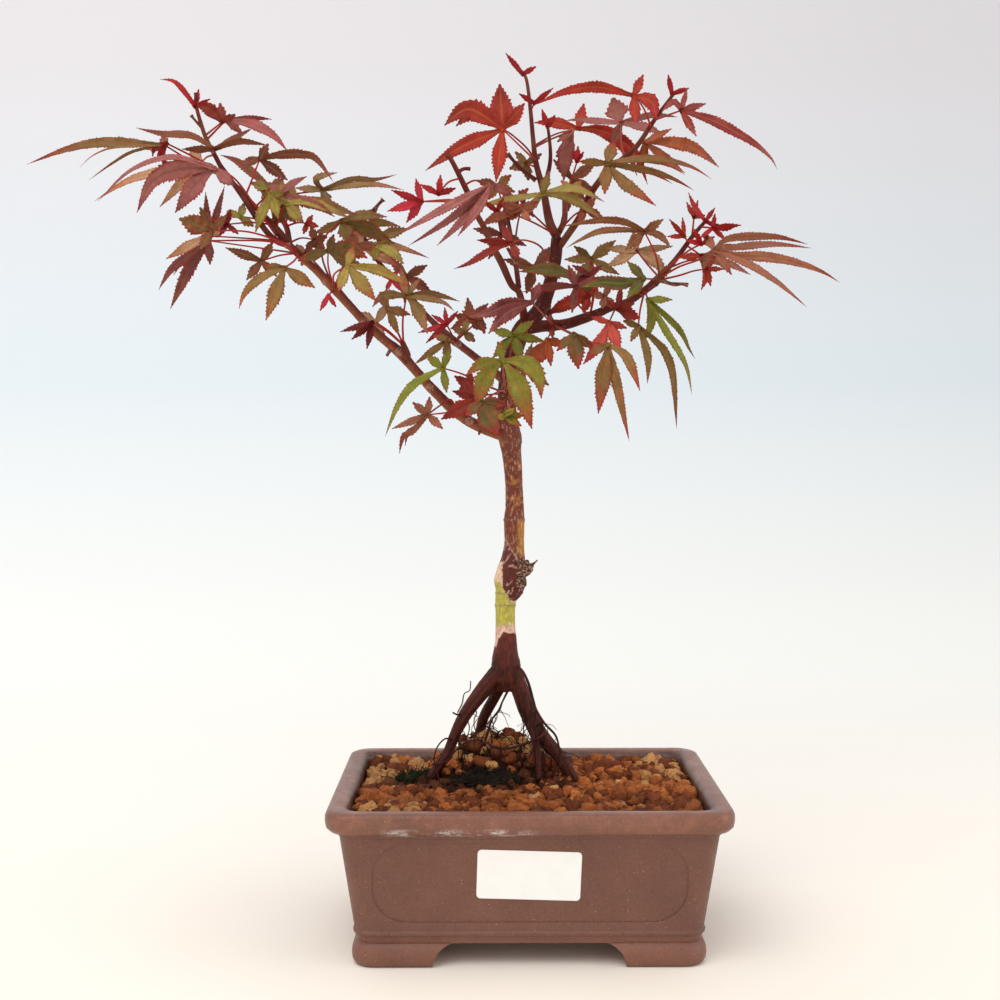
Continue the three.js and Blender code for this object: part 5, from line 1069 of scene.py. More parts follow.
MOUND_X, MOUND_Y, MOUND_HALF_X, MOUND_HALF_Y = -17, 17, 31, 17.5
SOIL_HALF_X, SOIL_HALF_Y = 86.4, 60.4
# Granules over CREST are mostly pale, and only those under WET_TOP are wet.
CREST, WET_TOP = 83, 80
BED_BELOW, BED_THICK = 3.4, 8
LUMPS, LUMP_ROUGH = 16, 0.72
# How far a granule is off its place and how close the rows are, as shares of the pitch.
LOOSE, ROW_SHARE = 0.42, 0.87
# Which granules are large, as a chance, and how large.
LARGE_FROM, LARGE = 0.86, 1.45
# How uneven the moss and the peat are, and how many fibres stand out of each, how thick and long.
FUZZ, FIBRES, FIBRE, FIBRE_LENGTH = 0.16, 140, 0.22, 5


def mound_share(x, y):
    """How much of the mound's height stands over a place in mm from the pot's middle."""
    u, v = (x - MOUND_X) / MOUND_HALF_X, (y - MOUND_Y) / MOUND_HALF_Y
    return math.exp(-(u * u + v * v) ** 1.5)


def soil_height(x, y, settings):
    """Height of the soil in mm over a place in mm from the pot's middle."""
    return settings.level / MM + settings.mound / MM * mound_share(x, y)


def lump_shapes(chance):
    """Points of several uneven lumps of radius one, and their shared faces."""
    bpy.ops.mesh.primitive_ico_sphere_add(subdivisions=2, radius=1)
    ball = added("lump")
    points = points_of(ball.data)
    faces = [tuple(face.vertices) for face in ball.data.polygons]
    bpy.data.objects.remove(ball)
    shapes = []
    for _ in range(LUMPS):
        shift = Vector([chance.uniform(-50, 50) for _ in range(3)])
        flat = np.array([chance.uniform(0.85, 1.15), chance.uniform(0.8, 1.1), chance.uniform(0.8, 1.0)])
        swell = [1 + LUMP_ROUGH * noise.noise(Vector(p) * 1.3 + shift)
                 + 0.4 * LUMP_ROUGH * noise.noise(Vector(p) * 3.1 + shift) for p in points]
        shapes.append(points * np.array(swell)[:, None] * flat)
    return shapes, faces


def soil_base(settings):
    """The closed bed under the granules, painted very dark as the shade in the gaps between them."""
    bpy.ops.mesh.primitive_grid_add(x_subdivisions=60, y_subdivisions=40, size=1)
    bed = added("soil_base")
    for point in bed.data.vertices:
        x, y = 2 * SOIL_HALF_X * point.co.x, 2 * SOIL_HALF_Y * point.co.y
        point.co = (x * MM, y * MM, (soil_height(x, y, settings) - BED_BELOW) * MM)
    select(bed)
    down = {"value": (0, 0, -BED_THICK * MM)}
    editing(lambda: bpy.ops.mesh.extrude_region_move(TRANSFORM_OT_translate=down))
    bed.location = CENTRE
    settle(bed)
    # Painted shade: the bed is a third as bright as the brown granules, so the gaps between granules look
    # shaded.
    paint(bed.data, "grain", np.array(settings.brown) * 0.3)
    return bed


def granule_tone(x, y, z, settings, chance):
    """A granule's colour: paler in three corners and on the crest, dark where the peat is wet, and brighter
    on the crest and, as painted light, over the right rear.
    """
    pale = chance.random()
    corner = (x < -52 and y > 5) or (x > 62 and y > 10) or (x < -58 and y < -42)
    wet = math.hypot((x + 27) / 40, (y - 1) / 13) + chance.uniform(-0.25, 0.25)
    crest = z > CREST
    if pale > (0.5 if corner else 0.55 if crest else 0.96):
        tone = np.array(settings.tan) * chance.uniform(0.75, 1.05)
    elif pale > 0.4:
        tone = np.array(settings.orange) * chance.uniform(0.75, 1.3)
    else:
        tone = np.array(settings.brown) * chance.uniform(0.7, 1.15)
    # Granules on the crest and over the right rear are made 1.28 times as bright; over the right rear this
    # is painted light.
    if crest or (x > 8 and y > -30):
        tone = tone * 1.28
    return tone * 0.32 if wet < 1 and z < WET_TOP else tone


def granules(settings):
    """Hundreds of baked clay lumps laid over the bed."""
    chance = random.Random(11)
    shapes, faces = lump_shapes(chance)
    points, all_faces, colours = [], [], []
    pitch = settings.pitch / MM
    row = 0
    y = -SOIL_HALF_Y + 1.5
    while y < SOIL_HALF_Y - 1:
        x = -SOIL_HALF_X + 1.5 + (row % 2) * pitch / 2
        while x < SOIL_HALF_X - 1:
            at_x = x + chance.uniform(-LOOSE, LOOSE) * pitch
            at_y = y + chance.uniform(-LOOSE, LOOSE) * pitch
            pick = chance.random()
            wide = settings.granule / MM * (0.5 + 0.6 * chance.random())
            if pick > LARGE_FROM:
                wide *= LARGE
            radius = wide / 2
            at_x = min(max(at_x, -SOIL_HALF_X + radius), SOIL_HALF_X - radius)
            at_y = min(max(at_y, -SOIL_HALF_Y + radius), SOIL_HALF_Y - radius)
            at_z = soil_height(at_x, at_y, settings) - radius * 0.22 + chance.uniform(-1.9, 1.3)
            turn = np.array(Matrix.Rotation(chance.uniform(0, 6.3), 3, "Z")
                            @ Matrix.Rotation(chance.uniform(-0.7, 0.7), 3, "X"))
            shape = (chance.choice(shapes) * radius) @ turn.T
            start = len(shape) * len(colours)
            points.append(shape * MM + np.array(CENTRE) + np.array((at_x, at_y, at_z)) * MM)
            all_faces.extend(tuple(start + i for i in face) for face in faces)
            colours.append(granule_tone(at_x, at_y, at_z, settings, chance))
            x += pitch
        y += pitch * ROW_SHARE
        row += 1
    heap = from_lists("granules", np.concatenate(points), all_faces)
    paint(heap.data, "grain", np.repeat(np.array(colours), len(shapes[0]), axis=0))
    return heap


class BONSAI_OT_soil(bpy.types.Operator):
    """Adds the bed of baked clay granules, heaped up under the trunk"""

    bl_idname = "bonsai.soil"
    bl_label = "Soil"
    bl_options = {"REGISTER", "UNDO"}

    def execute(self, context):
        settings = context.scene.bonsai_soil
        deselect()
        soil = joined("soil_piece", soil_base(settings), granules(settings))
        outward(soil)
        shade = Shade("soil", roughness=0.85, specular=0.2)
        light = shade.step(shade.noise(800, 4, 0.75), 0.32, 0.68, 0.5, 1.35)
        shade.finish(soil, shade.bright(shade.attribute("grain"), light),
                     shade.bump(shade.noise(1200, 4, 0.75), 0.0008, 1.0,
                                shade.bump(shade.noise(450, 3), 0.0014, 0.9)))
        hand_over(soil, "soil_granules", "soil_bed")
        return {"FINISHED"}


def clump(name, middle, half, seed):
    """A soft uneven lump."""
    bpy.ops.mesh.primitive_ico_sphere_add(subdivisions=5, radius=1)
    lump = added(name)
    shift = Vector((seed, 0, 0))
    for point in lump.data.vertices:
        way = point.co.copy()
        swell = (0.92 + 0.3 * noise.noise(way * 1.6 + shift) + FUZZ * noise.noise(way * 6 + shift)
                 + 0.6 * FUZZ * noise.noise(way * 14 + shift))
        point.co = CENTRE + MM * Vector([middle[i] + half[i] * swell * way[i] for i in range(3)])
    select(lump)
    bpy.ops.object.shade_smooth()
    return lump


def fibres(name, middle, half, seed):
    """Loose fibres that stand out of a clump."""
    chance = random.Random(seed)
    lines = []
    for _ in range(FIBRES):
        turn, rise = chance.uniform(0, 6.283), chance.uniform(0.1, 1.3)
        way = Vector((math.cos(turn) * math.cos(rise), math.sin(turn) * math.cos(rise), math.sin(rise)))
        foot = Vector([middle[i] + half[i] * 0.85 * way[i] for i in range(3)])
        bend = Vector([chance.uniform(-0.6, 0.6) for _ in range(3)])
        reach = chance.uniform(0.5, 1) * FIBRE_LENGTH
        path = [foot, foot + (way + bend * 0.4) * reach * 0.5, foot + (way * 0.6 + bend) * reach]
        lines.append([(CENTRE + MM * Vector(spot), 1) for spot in smooth(path, 4)])
    return round_lines(name, lines, FIBRE * MM, 0)


class BONSAI_OT_moss(bpy.types.Operator):
    """Adds the dark moss clump and the peat strip on the soil"""

    bl_idname = "bonsai.moss"
    bl_label = "Moss and peat"
    bl_options = {"REGISTER", "UNDO"}

    def execute(self, context):
        settings = context.scene.bonsai_soil
        for name, slot, tone, middle, half, seed in (
                ("moss_clump", "moss", settings.moss, (-59, 8, 74.5), (11, 8, 5.5), 3),
                ("peat_strip", "peat", settings.peat, (-20, -3, 78), (20, 6, 5), 5)):
            deselect()
            piece = joined(name + "_piece", clump(name + "_lump", middle, half, seed),
                           fibres(name + "_fibres", middle, half, seed))
            outward(piece)
            shade = Shade(name + "_fibre", roughness=0.95, specular=0.1)
            shade.finish(piece, shade.uneven(tuple(tone), 0.5, 1.7, 900, 3, 0.7),
                         shade.bump(shade.noise(1500, 3, 0.7), 0.0006, 0.9))
            hand_over(piece, slot, name)
        return {"FINISHED"}


# The wood. Heights and places are as they show, in mm.

# Where the root bark, the pale band, the green bark, the callus, the purple bark and the trunk end.
CROWN, PALE_TOP, GREEN_TOP, CALLUS_TOP, SEAM, TRUNK_TOP = 152, 156.6, 179.5, 190.5, 206, 260
SCAR_X, SCAR_Z = 33, 324.5
# The height of the rootlets that lie on the level soil, and how much higher they lie on the mound.
LIE_FROM, HEAP = 76.5, 22
# Where rootlets begin at most and end at least, how thick they are, and where the long ones begin.
ROOTLET_TOP, ROOTLET_END, ROOTLET = 112, 76, 0.24
LONG_ROOTLETS = ((0, 121), (2.5, 116), (4, 110), (7.5, 104), (8, 99), (-1, 112), (10.5, 97), (-30, 108),
                 (-36, 98), (-27, 112))
# The graft's right side has no rings between these heights, and the trunk's own bark ends at BARK_TO.
GRAFT_FROM, GRAFT_TO, BARK_TO = 169, 207, 292
BARKS = ("root", "pale", "green", "callus", "stem", "ochre", "upper", "branch", "branch_low")
TRUNK_RINGS = (167.5, 174, 213, 254)
# The swollen nodes of the branches: x, z and how much each swells.
NODES = ((-107.5, 336.6, 1.7), (-67, 301.5, 1.8), (-51, 282.5, 1.4), (-30, 265.3, 1.2), (-85, 317, 1),
         (-126, 358, 1.5), (-24, 296.5, 1.3), (-36, 306, 1.4), (30, 319, 1.3), (52, 327, 1.4),
         (67, 337.5, 1.6), (16, 360.5, 1.8), (8, 315, 1.2))
GRAFT_EDGE = ((-14, 186), (-13.4, 180), (-12.4, 177), (-8.6, 170.6), (-6.6, 169.6), (-3, 171), (2, 178))


def guide_lines(groups):
    """A search tree over the middle lines of the limbs, with each spot's way, run and kind."""
    spots = []
    for kind, paths in groups:
        for path in paths:
            count = max(2, round(line_length(path)))
            places = [seen(*spot[:3]) for spot in smooth(path, count)]
            for i, place in enumerate(places):
                way = (places[min(i + 1, count)] - places[max(i - 1, 0)]).normalized()
                spots.append((place, way, float(i), kind))
    tree = KDTree(len(spots))
    for i, spot in enumerate(spots):
        tree.insert(spot[0], i)
    tree.balance()
    return tree, spots


def round_limb(guide, place):
    """The nearest limb's kind, the run along it and the way out of it at a place on its bark."""
    tree, spots = guide
    middle, way, run, kind = spots[tree.find(place)[1]]
    out = place - middle
    out = (out - way * out.dot(way)).normalized()
    return kind, run, out


def between(value, low, high):
    """How far the value is from low to high, from 0 to 1."""
    return min(1.0, max(0.0, (value - low) / (high - low)))


def line_height(line, x):
    """The height of a line of points over x."""
    return float(np.interp(x, [p[0] for p in line], [p[1] for p in line]))


def blend(first, second, share):
    """The first value turned to the second by a share."""
    return first * (1 - share) + second * share


def streak_at(out, run):
    """Unevenness in long ridges along a limb."""
    return noise.noise(out * 2.4 + Vector((run * 0.07, 0, run * 0.05)))


def trunk_colour(x, z, mid, fine, dash, tones):
    """The trunk's bark from the roots' crown up over the graft to the fork."""
    # Root bark grows up to 2.1 times as bright towards the crown: lighter bark with a painted highlight
    # over it.
    if z < CROWN + 2.6 * mid + 0.8 * fine - 6 * between(x, -12.4, -16):
        return tones.root * (1 + 1.1 * between(z, 130, 150) + 0.8 * dash)
    if z < PALE_TOP + 1.8 * mid + 1.4 * fine:
        return tones.pale * (1 + 0.45 * fine)
    edge = line_height(GRAFT_EDGE, x) + 0.8 * fine
    if z < min(edge, GREEN_TOP + 1.2 * mid):
        return blend(tones.green * (1 + 0.1 * mid), tones.callus, between(z, edge - 1.8, edge - 0.4))
    if x < -12.6 - 0.8 * fine and z < CALLUS_TOP:
        return tones.callus * (1 + 0.15 * fine)
    seam = SEAM - 1.6 * (x + 13) + 1.2 * mid
    if z < seam:
        purple = tones.stem * np.array((0.66, 0.58, 0.8))
        return blend(purple, tones.callus, 0.5) if z > seam - 1.3 or dash > 0.34 else purple
    gold = between(x, -5.6, -3) * between(z, 192, 196) * between(z, 214, 211)
    gold = max(gold, 0.75 * between(mid, 0.05, 0.5) * between(z, 214, 220) * between(z, 248, 240))
    tone = blend(blend(tones.stem, tones.ochre, gold), tones.upper, between(z, 258, 290))
    return blend(tone, tones.callus, 0.34 * between(dash + 0.3 * fine, 0.26, 0.42))


def bark_colours(mesh, guide, settings):
    """A colour for each point of the wood by its limb and by where it shows on the tree."""
    tones = SimpleNamespace(**{name: np.array(getattr(settings, name)) for name in BARKS})
    values = np.empty((len(mesh.vertices), 3))
    for i, point in enumerate(mesh.vertices):
        x, z, _ = seen_again(point.co)
        kind, run, out = round_limb(guide, point.co)
        at = point.co / MM
        mid, fine, streak = noise.noise(at * 0.35), noise.noise(at * 1.5), streak_at(out, run)
        dash = noise.noise(out * 6.5 + Vector((0, run * 0.3, run * 0.2)))
        if kind == "root":
            tone = tones.root * (1 + 1.1 * streak + 0.7 * max(0, dash))
        elif kind == "thin":
            tone = tones.root * (0.8 + 0.7 * mid)
        elif kind == "twig":
            tone = tones.branch * 0.7 + tones.callus * 0.3 * between(fine, -0.1, 0.3)
        elif (kind == "trunk" and z < BARK_TO) or (kind == "stub" and x < -5.2 + mid):
            tone = trunk_colour(x, z, mid, fine, dash, tones)
            on_graft = GRAFT_FROM < z < GRAFT_TO and z > line_height(GRAFT_EDGE, x)
            if not on_graft and any(abs(z - ring + 0.5 * mid) < 0.5 for ring in TRUNK_RINGS):
                tone = tone * 0.6 + tones.callus * 0.12
        elif kind == "stub":
            pale = between(noise.noise(at * 0.8) + 0.5 * fine, 0.05, 0.3)
            tone = blend(tones.stem * 0.45, tones.callus * 0.5, pale)
        elif kind in ("trunk", "right"):
            lit = between(x, 30, 70) if kind == "right" else 0
            tone = blend(tones.upper, tones.branch, lit) * (1 + 0.6 * streak)
            if dash > 0.52:
                tone = blend(tone, tones.callus, 0.18)
            if kind == "right" and math.hypot((x - SCAR_X) / 2.6, (z - SCAR_Z) / 1.7) < 1 + 0.3 * mid:
                tone = tones.callus * 0.62
        else:
            tone = blend(tones.branch, tones.branch_low, between(out.z, 0.25, -0.75)) * (1 + 0.3 * streak)
        near = min(math.hypot(x - nx, z - nz) for nx, nz, _ in NODES)
        if kind == "left" and near < 2.2 and fine > -0.15:
            tone = tone * 0.6 + tones.callus * 0.3
        values[i] = np.clip(tone * (1 + 0.25 * fine + 0.15 * mid), 0.004, 0.9)
    return values


def bark_relief(mesh, guide, depth):
    """Ridges along the limbs, rings on the trunk and swollen nodes on the branches."""
    ways = np.empty(len(mesh.vertices) * 3, dtype=np.float32)
    mesh.vertex_normals.foreach_get("vector", ways)
    points = points_of(mesh)
    lift = np.empty((len(points), 1))
    for i, row in enumerate(points):
        place = Vector(row)
        at = place / MM
        x, z, _ = seen_again(place)
        kind, run, out = round_limb(guide, place)
        rise = (0.8 * streak_at(out, run) + 0.4 * noise.noise(at * 0.8)
                + 0.25 * noise.noise(at * 2.0)) * depth
        if kind == "trunk" and z < TRUNK_TOP:
            rise += 0.35 * MM * sum(math.exp(-((z - ring) / 0.8) ** 2) for ring in TRUNK_RINGS)
        elif kind != "root":
            for nx, nz, swell in NODES:
                gap = math.hypot(x - nx, z - nz)
                if gap < 6:
                    rise += 0.4 * swell * MM * math.exp(-(gap / 1.7) ** 2)
        if kind == "stub":
            rise += 1.1 * MM * noise.noise(at * 0.55)
        lift[i] = rise
    points = points + ways.reshape(-1, 3) * lift
    mesh.vertices.foreach_set("co", points.astype(np.float32).ravel())
    mesh.update()


def rootlets():
    """Fine wandering rootlets that hang from the legs and lie over the mound, as seen paths."""
    chance = random.Random(21)
    paths = []
    for root in (*THICK_ROOTS, THIN_ROOTS[1], THIN_ROOTS[1], *THIN_ROOTS[:3]):
        line = smooth(root, 36)
        for x, z, y, radius in line:
            if z > ROOTLET_TOP or chance.random() < 0.6:
                continue
            turn = chance.uniform(-math.pi, math.pi)
            spot = np.array((x + radius * 0.7 * math.cos(turn), z, y + radius * 0.7 * math.sin(turn)))
            way = np.array((0.8 * math.cos(turn), -0.3, 0.8 * math.sin(turn)))
            path = [(*spot, ROOTLET)]
            steps = chance.randint(3, 8)
            for n in range(steps):
                way = way * 0.75 + np.array((chance.uniform(-0.7, 0.7), chance.uniform(-0.8, 0.3),
                                             chance.uniform(-0.6, 0.6)))
                spot = spot + way * chance.uniform(1.2, 2.6)
                spot[1] = max(spot[1], ROOTLET_END)
                path.append((*spot, ROOTLET * (1 - 0.5 * (n + 1) / steps)))
            paths.append(path)
    for x, z in LONG_ROOTLETS:
        y = chance.uniform(4, 7)
        path = [(x, z, y + 2, 0.35)]
        for n in range(11):
            x, z = x + chance.uniform(-1.3, 1), z - chance.uniform(1.6, 3)
            y += chance.uniform(-1.4, 0.4)
            path.append((x, max(z, 75), y, 0.32 - 0.015 * n))
        paths.append(path)
    for _ in range(60):
        x, y = chance.uniform(-52, 12), chance.uniform(-10, 18)
        turn = chance.uniform(-math.pi, math.pi)
        path = []
        for n in range(chance.randint(6, 12)):
            turn += chance.uniform(-0.8, 0.8)
            x, y = x + 2.4 * math.cos(turn), y + 1.6 * math.sin(turn)
            height = LIE_FROM + HEAP * mound_share(x, y) + chance.uniform(-0.5, 2.2)
            path.append((*shown(x, y, height), ROOTLET))
        paths.append(path)
    return paths


class BONSAI_OT_wood(bpy.types.Operator):
    """Adds the roots, the grafted trunk and the branches as one grown piece"""

    bl_idname = "bonsai.wood"
    bl_label = "Wood"
    bl_options = {"REGISTER", "UNDO"}

    def execute(self, context):
        settings = context.scene.bonsai_wood
        deselect()
        guide = guide_lines((("trunk", (TRUNK,)), ("root", THICK_ROOTS), ("left", BRANCHES[:2]),
                             ("right", BRANCHES[2:3]), ("stub", BRANCHES[3:])))
        thin_guide = guide_lines((("thin", THIN_ROOTS), ("twig", TWIGS)))
        wood = tubes("wood", (TRUNK, *THICK_ROOTS, *BRANCHES), 12, 1.5)
        wood.data.remesh_voxel_size = settings.grain
        wood.data.remesh_voxel_adaptivity = 0
        bpy.ops.object.voxel_remesh()
        bark_relief(wood.data, guide, settings.relief)
        twigs = tubes("twigs", (*THIN_ROOTS, *TWIGS), 8, 1.2)
        hairs = tubes("rootlets", rootlets(), 4, 1.6)
        paint(wood.data, "bark", bark_colours(wood.data, guide, settings))
        paint(twigs.data, "bark", bark_colours(twigs.data, thin_guide, settings))
        paint(hairs.data, "bark", np.array(settings.rootlet))
        piece = joined("wood_piece", wood, twigs, hairs)
        bpy.ops.object.shade_smooth()
        shade = Shade("bark", roughness=0.55, specular=0.18)
        grain = shade.noise(1100, 4, 0.7, shade.stretched(1, 1, 0.25))
        tone = shade.bright(shade.attribute("bark"), shade.step(grain, 0.3, 0.7, 0.68, 1.3))
        tone = shade.uneven(tone, 0.82, 1.18, 1700, 3, 0.7)
        shade.finish(piece, tone, shade.bump(grain, 0.0007, 0.9))
        hand_over(piece, "bark", "tree_wood")
        return {"FINISHED"}


# The leaves.

MASTERS = {}
# Half a lobe's width at its foot, where it is widest along a short and a long one, and its thin tip.
BASE_HALF, PEAK_SHORT, PEAK_LONG, LONG_LOBE, TIP = 1.15, 0.46, 0.36, 45, 0.07
# How far from the middle the margin begins, and how far a tooth leans to the tip, as shares.
MARGIN_FROM, TOOTH_LEAN, TOOTH_DEEP = 0.9, 0.75, 0.24
FOLD, WAVE, FOOT_BACK = 0.42, 0.22, 0.9
TILT = math.radians(48)
# A twin's lobe reaches back by this less the depth of the first leaf's.
TWIN_BACK = 8
UNDERSIDE = (0.4, 0.28, 0.16)


def master_blade(rows):
    """A flat strip of cells, five points across, thickened to a closed slab: (u, v, side) points."""
    if rows not in MASTERS:
        bpy.ops.mesh.primitive_grid_add(x_subdivisions=4, y_subdivisions=rows, size=2)
        strip = added("blade")
        editing(lambda: bpy.ops.mesh.extrude_region_move(TRANSFORM_OT_translate={"value": (0, 0, 1)}))
        outward(strip)
        points = points_of(strip.data)
        points[:, 1] = (points[:, 1] + 1) / 2
        faces = [tuple(face.vertices) for face in strip.data.polygons]
        bpy.data.objects.remove(strip)
        MASTERS[rows] = (points, faces)
    return MASTERS[rows]


def lobe_points(hub, lobe, slope, settings, chance):
    """The places of a lobe's points, with its length."""
    width, back, *steps = lobe
    course = [(hub[0], hub[1])] + list(zip(steps[::2], steps[1::2]))
    length = line_length(course, 2)
    rows = max(8, 2 * round(length / (settings.tooth / MM) / 2))
    master, faces = master_blade(rows)
    line = smooth(course, rows, 2)
    ways = np.gradient(line, axis=0)
    ways /= np.linalg.norm(ways, axis=1)[:, None]
    half = width / 2
    base = min(0.7, BASE_HALF / half)
    peak = PEAK_LONG if length > LONG_LOBE else PEAK_SHORT
    teeth = [chance.uniform(0.0, TOOTH_DEEP) for _ in range(rows + 1)]
    twist = chance.uniform(0, 6.3)
    places = []
    for u, v, side in master:
        row = round(v * rows)
        if v < peak:
            share = v / peak
            wide = base + (1 - base) * share * share * (3 - 2 * share)
        else:
            share = (v - peak) / (1 - peak)
            wide = (1 - share ** 1.8) * (1 - 0.3 * share)
        wide = max(TIP, half * wide)
        forward = 0.0
        if abs(u) > MARGIN_FROM and 0 < row < rows:
            tooth = teeth[row] if u > 0 else teeth[-row]
            wide *= 1 + tooth if row % 2 else 1 - 0.5 * tooth
            forward = (TOOTH_LEAN if row % 2 else -0.1) * length / rows
        at = line[row] + ways[row] * forward
        if row == 0:
            at = at - ways[0] * FOOT_BACK
        across = np.array((-ways[row][1], ways[row][0]))
        flat = at + across * u * wide
        fold = FOLD * wide * (abs(u) ** 1.4 - 0.4)
        wave = WAVE * wide * math.sin(v * length * 0.45 + twist) * u * u
        depth = hub[2] + back * v + slope * u * wide - fold - wave
        depth += (side - 0.5) * settings.thickness / MM * math.sqrt(1 + slope * slope)
        places.append(seen(flat[0], flat[1], depth))
    return places, master, faces, length


def tone_points(master, body, tip, margin, chance):
    """Colours over a lobe: the body's, turning to the tip's and the margin's, and paler beneath."""
    seed = Vector((chance.uniform(-99, 99), chance.uniform(-99, 99), 0))
    turn = chance.uniform(0.45, 0.75)
    lift = chance.uniform(0.72, 1.12)
    values = np.empty((len(master), 3))
    for i, (u, v, side) in enumerate(master):
        mottle = noise.noise(Vector((u * 0.9, v * 7, 0)) + seed)
        share = min(1, max(0, (v - turn) / (1.02 - turn)) + 0.5 * max(0, mottle))
        tone = blend(body, tip, share) * lift * (1 + 0.3 * mottle)
        tone = blend(tone, margin, (0.75 if abs(u) > MARGIN_FROM else 0.12) * (0.5 + 0.5 * v))
        values[i] = blend(tone, np.array(UNDERSIDE), 0.3) if side > 0.5 else tone
    return values


def leaf_lobes(hub, lobes):
    """The lobes of a leaf in their order round its hub, each with the sign of its slope."""
    order = sorted(lobes, key=lambda lobe: math.atan2(lobe[3] - hub[1], lobe[2] - hub[0]))
    return [(lobe, 1 if n % 2 else -1) for n, lobe in enumerate(order)]


def blades(name, leaves, settings, chance):
    """All blades of a spray as one mesh."""
    points, faces, body_tones, rib_tones, places_over = [], [], [], [], []
    margin = np.array(settings.margin)
    for hue, hub, _, lobes, *_ in leaves:
        body, tip = (np.array(getattr(settings, word)) for word in hue.split())
        vein = np.array(settings.orange) if hue.startswith("scarlet") else tip
        for lobe, sign in leaf_lobes(hub, lobes):
            narrow = min(1, max(0.25, (7 - lobe[0]) / 3))
            slope = math.tan(TILT * narrow) * sign
            places, master, own_faces, length = lobe_points(hub, lobe, slope, settings, chance)
            start = len(points)
            points.extend(places)
            faces.extend(tuple(start + i for i in face) for face in own_faces)
            body_tones.append(tone_points(master, body, tip, margin, chance))
            rib_tones.append(np.tile(vein * 0.6 + body * 0.5, (len(master), 1)))
            places_over.append(master[:, :2] * (1, length))
    piece = from_lists(name, points, faces)
    mesh = piece.data
    paint(mesh, "tint", np.concatenate(body_tones))
    paint(mesh, "vein", np.concatenate(rib_tones))
    corner = np.empty(len(mesh.loops), dtype=np.int32)
    mesh.loops.foreach_get("vertex_index", corner)
    pairs = np.concatenate(places_over)[corner]
    mesh.uv_layers.new(name="blade").data.foreach_set("uv", pairs.astype(np.float32).ravel())
    return piece


def twin_of(leaf):
    """The leaf on the other side of the same node: the first one turned back and made smaller."""
    hue, hub, stalk, lobes, (depth, scale) = leaf
    small = []
    for width, back, *steps in lobes:
        spots = [hub[i % 2] + (value - hub[i % 2]) * scale for i, value in enumerate(steps)]
        small.append((width * scale, TWIN_BACK - back, *spots))
    return hue, (hub[0], hub[1], depth), (stalk[0],), tuple(small)


def blade_material(piece):
    """Thin leaf skin with a rib and side veins, from the blade's own colours."""
    shade = Shade(piece.name + "_skin", roughness=0.55, specular=0.22)
    u, v, _ = shade.part(shade.node("UVMap", {}, uv_map="blade")[0])
    off = shade.math("ABSOLUTE", u)
    rib = shade.step(off, 0.03, 0.2, 1, 0)
    run = shade.math("SUBTRACT", v, shade.times(off, 1.6))
    side = shade.step(shade.math("SINE", shade.times(run, 3.6)), 0.72, 1.0)
    tone = shade.uneven(shade.attribute("tint"), 0.8, 1.2, 500, 3, 0.6)
    for vein, share in ((rib, 0.75), (side, 0.22)):
        tone = shade.mix(shade.times(vein, share), tone, shade.attribute("vein"))
    height = shade.math("SUBTRACT", 0.0, shade.math("ADD", rib, shade.times(side, 0.5)))
    shade.finish(piece, tone, shade.bump(height, 0.0003, 0.6))


def stalk_material(piece, tone, other):
    """Smooth skin of stems or leaf stalks in two tones."""
    shade = Shade(piece.name + "_skin", roughness=0.5, specular=0.2)
    tone = shade.mix(shade.step(shade.noise(60, 3), 0.45, 0.68), tone, other)
    shade.finish(piece, shade.uneven(tone, 0.8, 1.2, 900, 3), shade.bump(shade.noise(1500, 2), 0.0002, 0.5))


class BONSAI_OT_leaves(bpy.types.Operator):
    """Adds the leafy shoots: stems, leaf stalks and narrow toothed blades"""

    bl_idname = "bonsai.leaves"
    bl_label = "Leaves"
    bl_options = {"REGISTER", "UNDO"}

    def execute(self, context):
        settings = context.scene.bonsai_leaves
        foot = settings.petiole / MM
        for number, (name, (collar, stems, leaves)) in enumerate(SPRAYS.items()):
            deselect()
            chance = random.Random(100 + number)
            every = [*leaves, *(twin_of(leaf) for leaf in leaves if len(leaf) > 4)]
            green = blades(name + "_blades", every, settings, chance)
            outward(green)
            blade_material(green)
            stem = tubes(name + "_stems", (*stems, collar) if collar else stems, 8, 1.6)
            stalk_material(stem, settings.shoot, settings.shoot_green)
            stalks = []
            for _, hub, stalk, *_ in every:
                stalks.append([(*spot, foot * (1 - 0.3 * i / len(stalk)))
                               for i, spot in enumerate((*stalk, hub))])
            thin = tubes(name + "_stalks", stalks, 6, 1.6)
            stalk_material(thin, settings.stalk, settings.stalk_low)
            piece = joined(name + "_piece", green, stem, thin)
            bpy.ops.object.shade_smooth()
            hand_over(piece, name + "_blades", name)
        return {"FINISHED"}


# The stage, in metres. The floor's back edge, which is at FLOOR_BACK, bends up into a wall.

FLOOR_X, FLOOR_Y, FLOOR_BACK, BEND, BEND_STEPS, WALL_HIGH = 8, 4, 0.5, 1.5, 24, 3
AIM, SENSOR, NEAR, FAR = (0, 0, 0.25), 36, 0.01, 20
# Each light's place, width and height.
LIGHTS = {"key": ((-0.5, -0.9, 1.5), 1.2, 1.2), "side": ((1.3, -0.3, 0.7), 0.9, 1.2)}


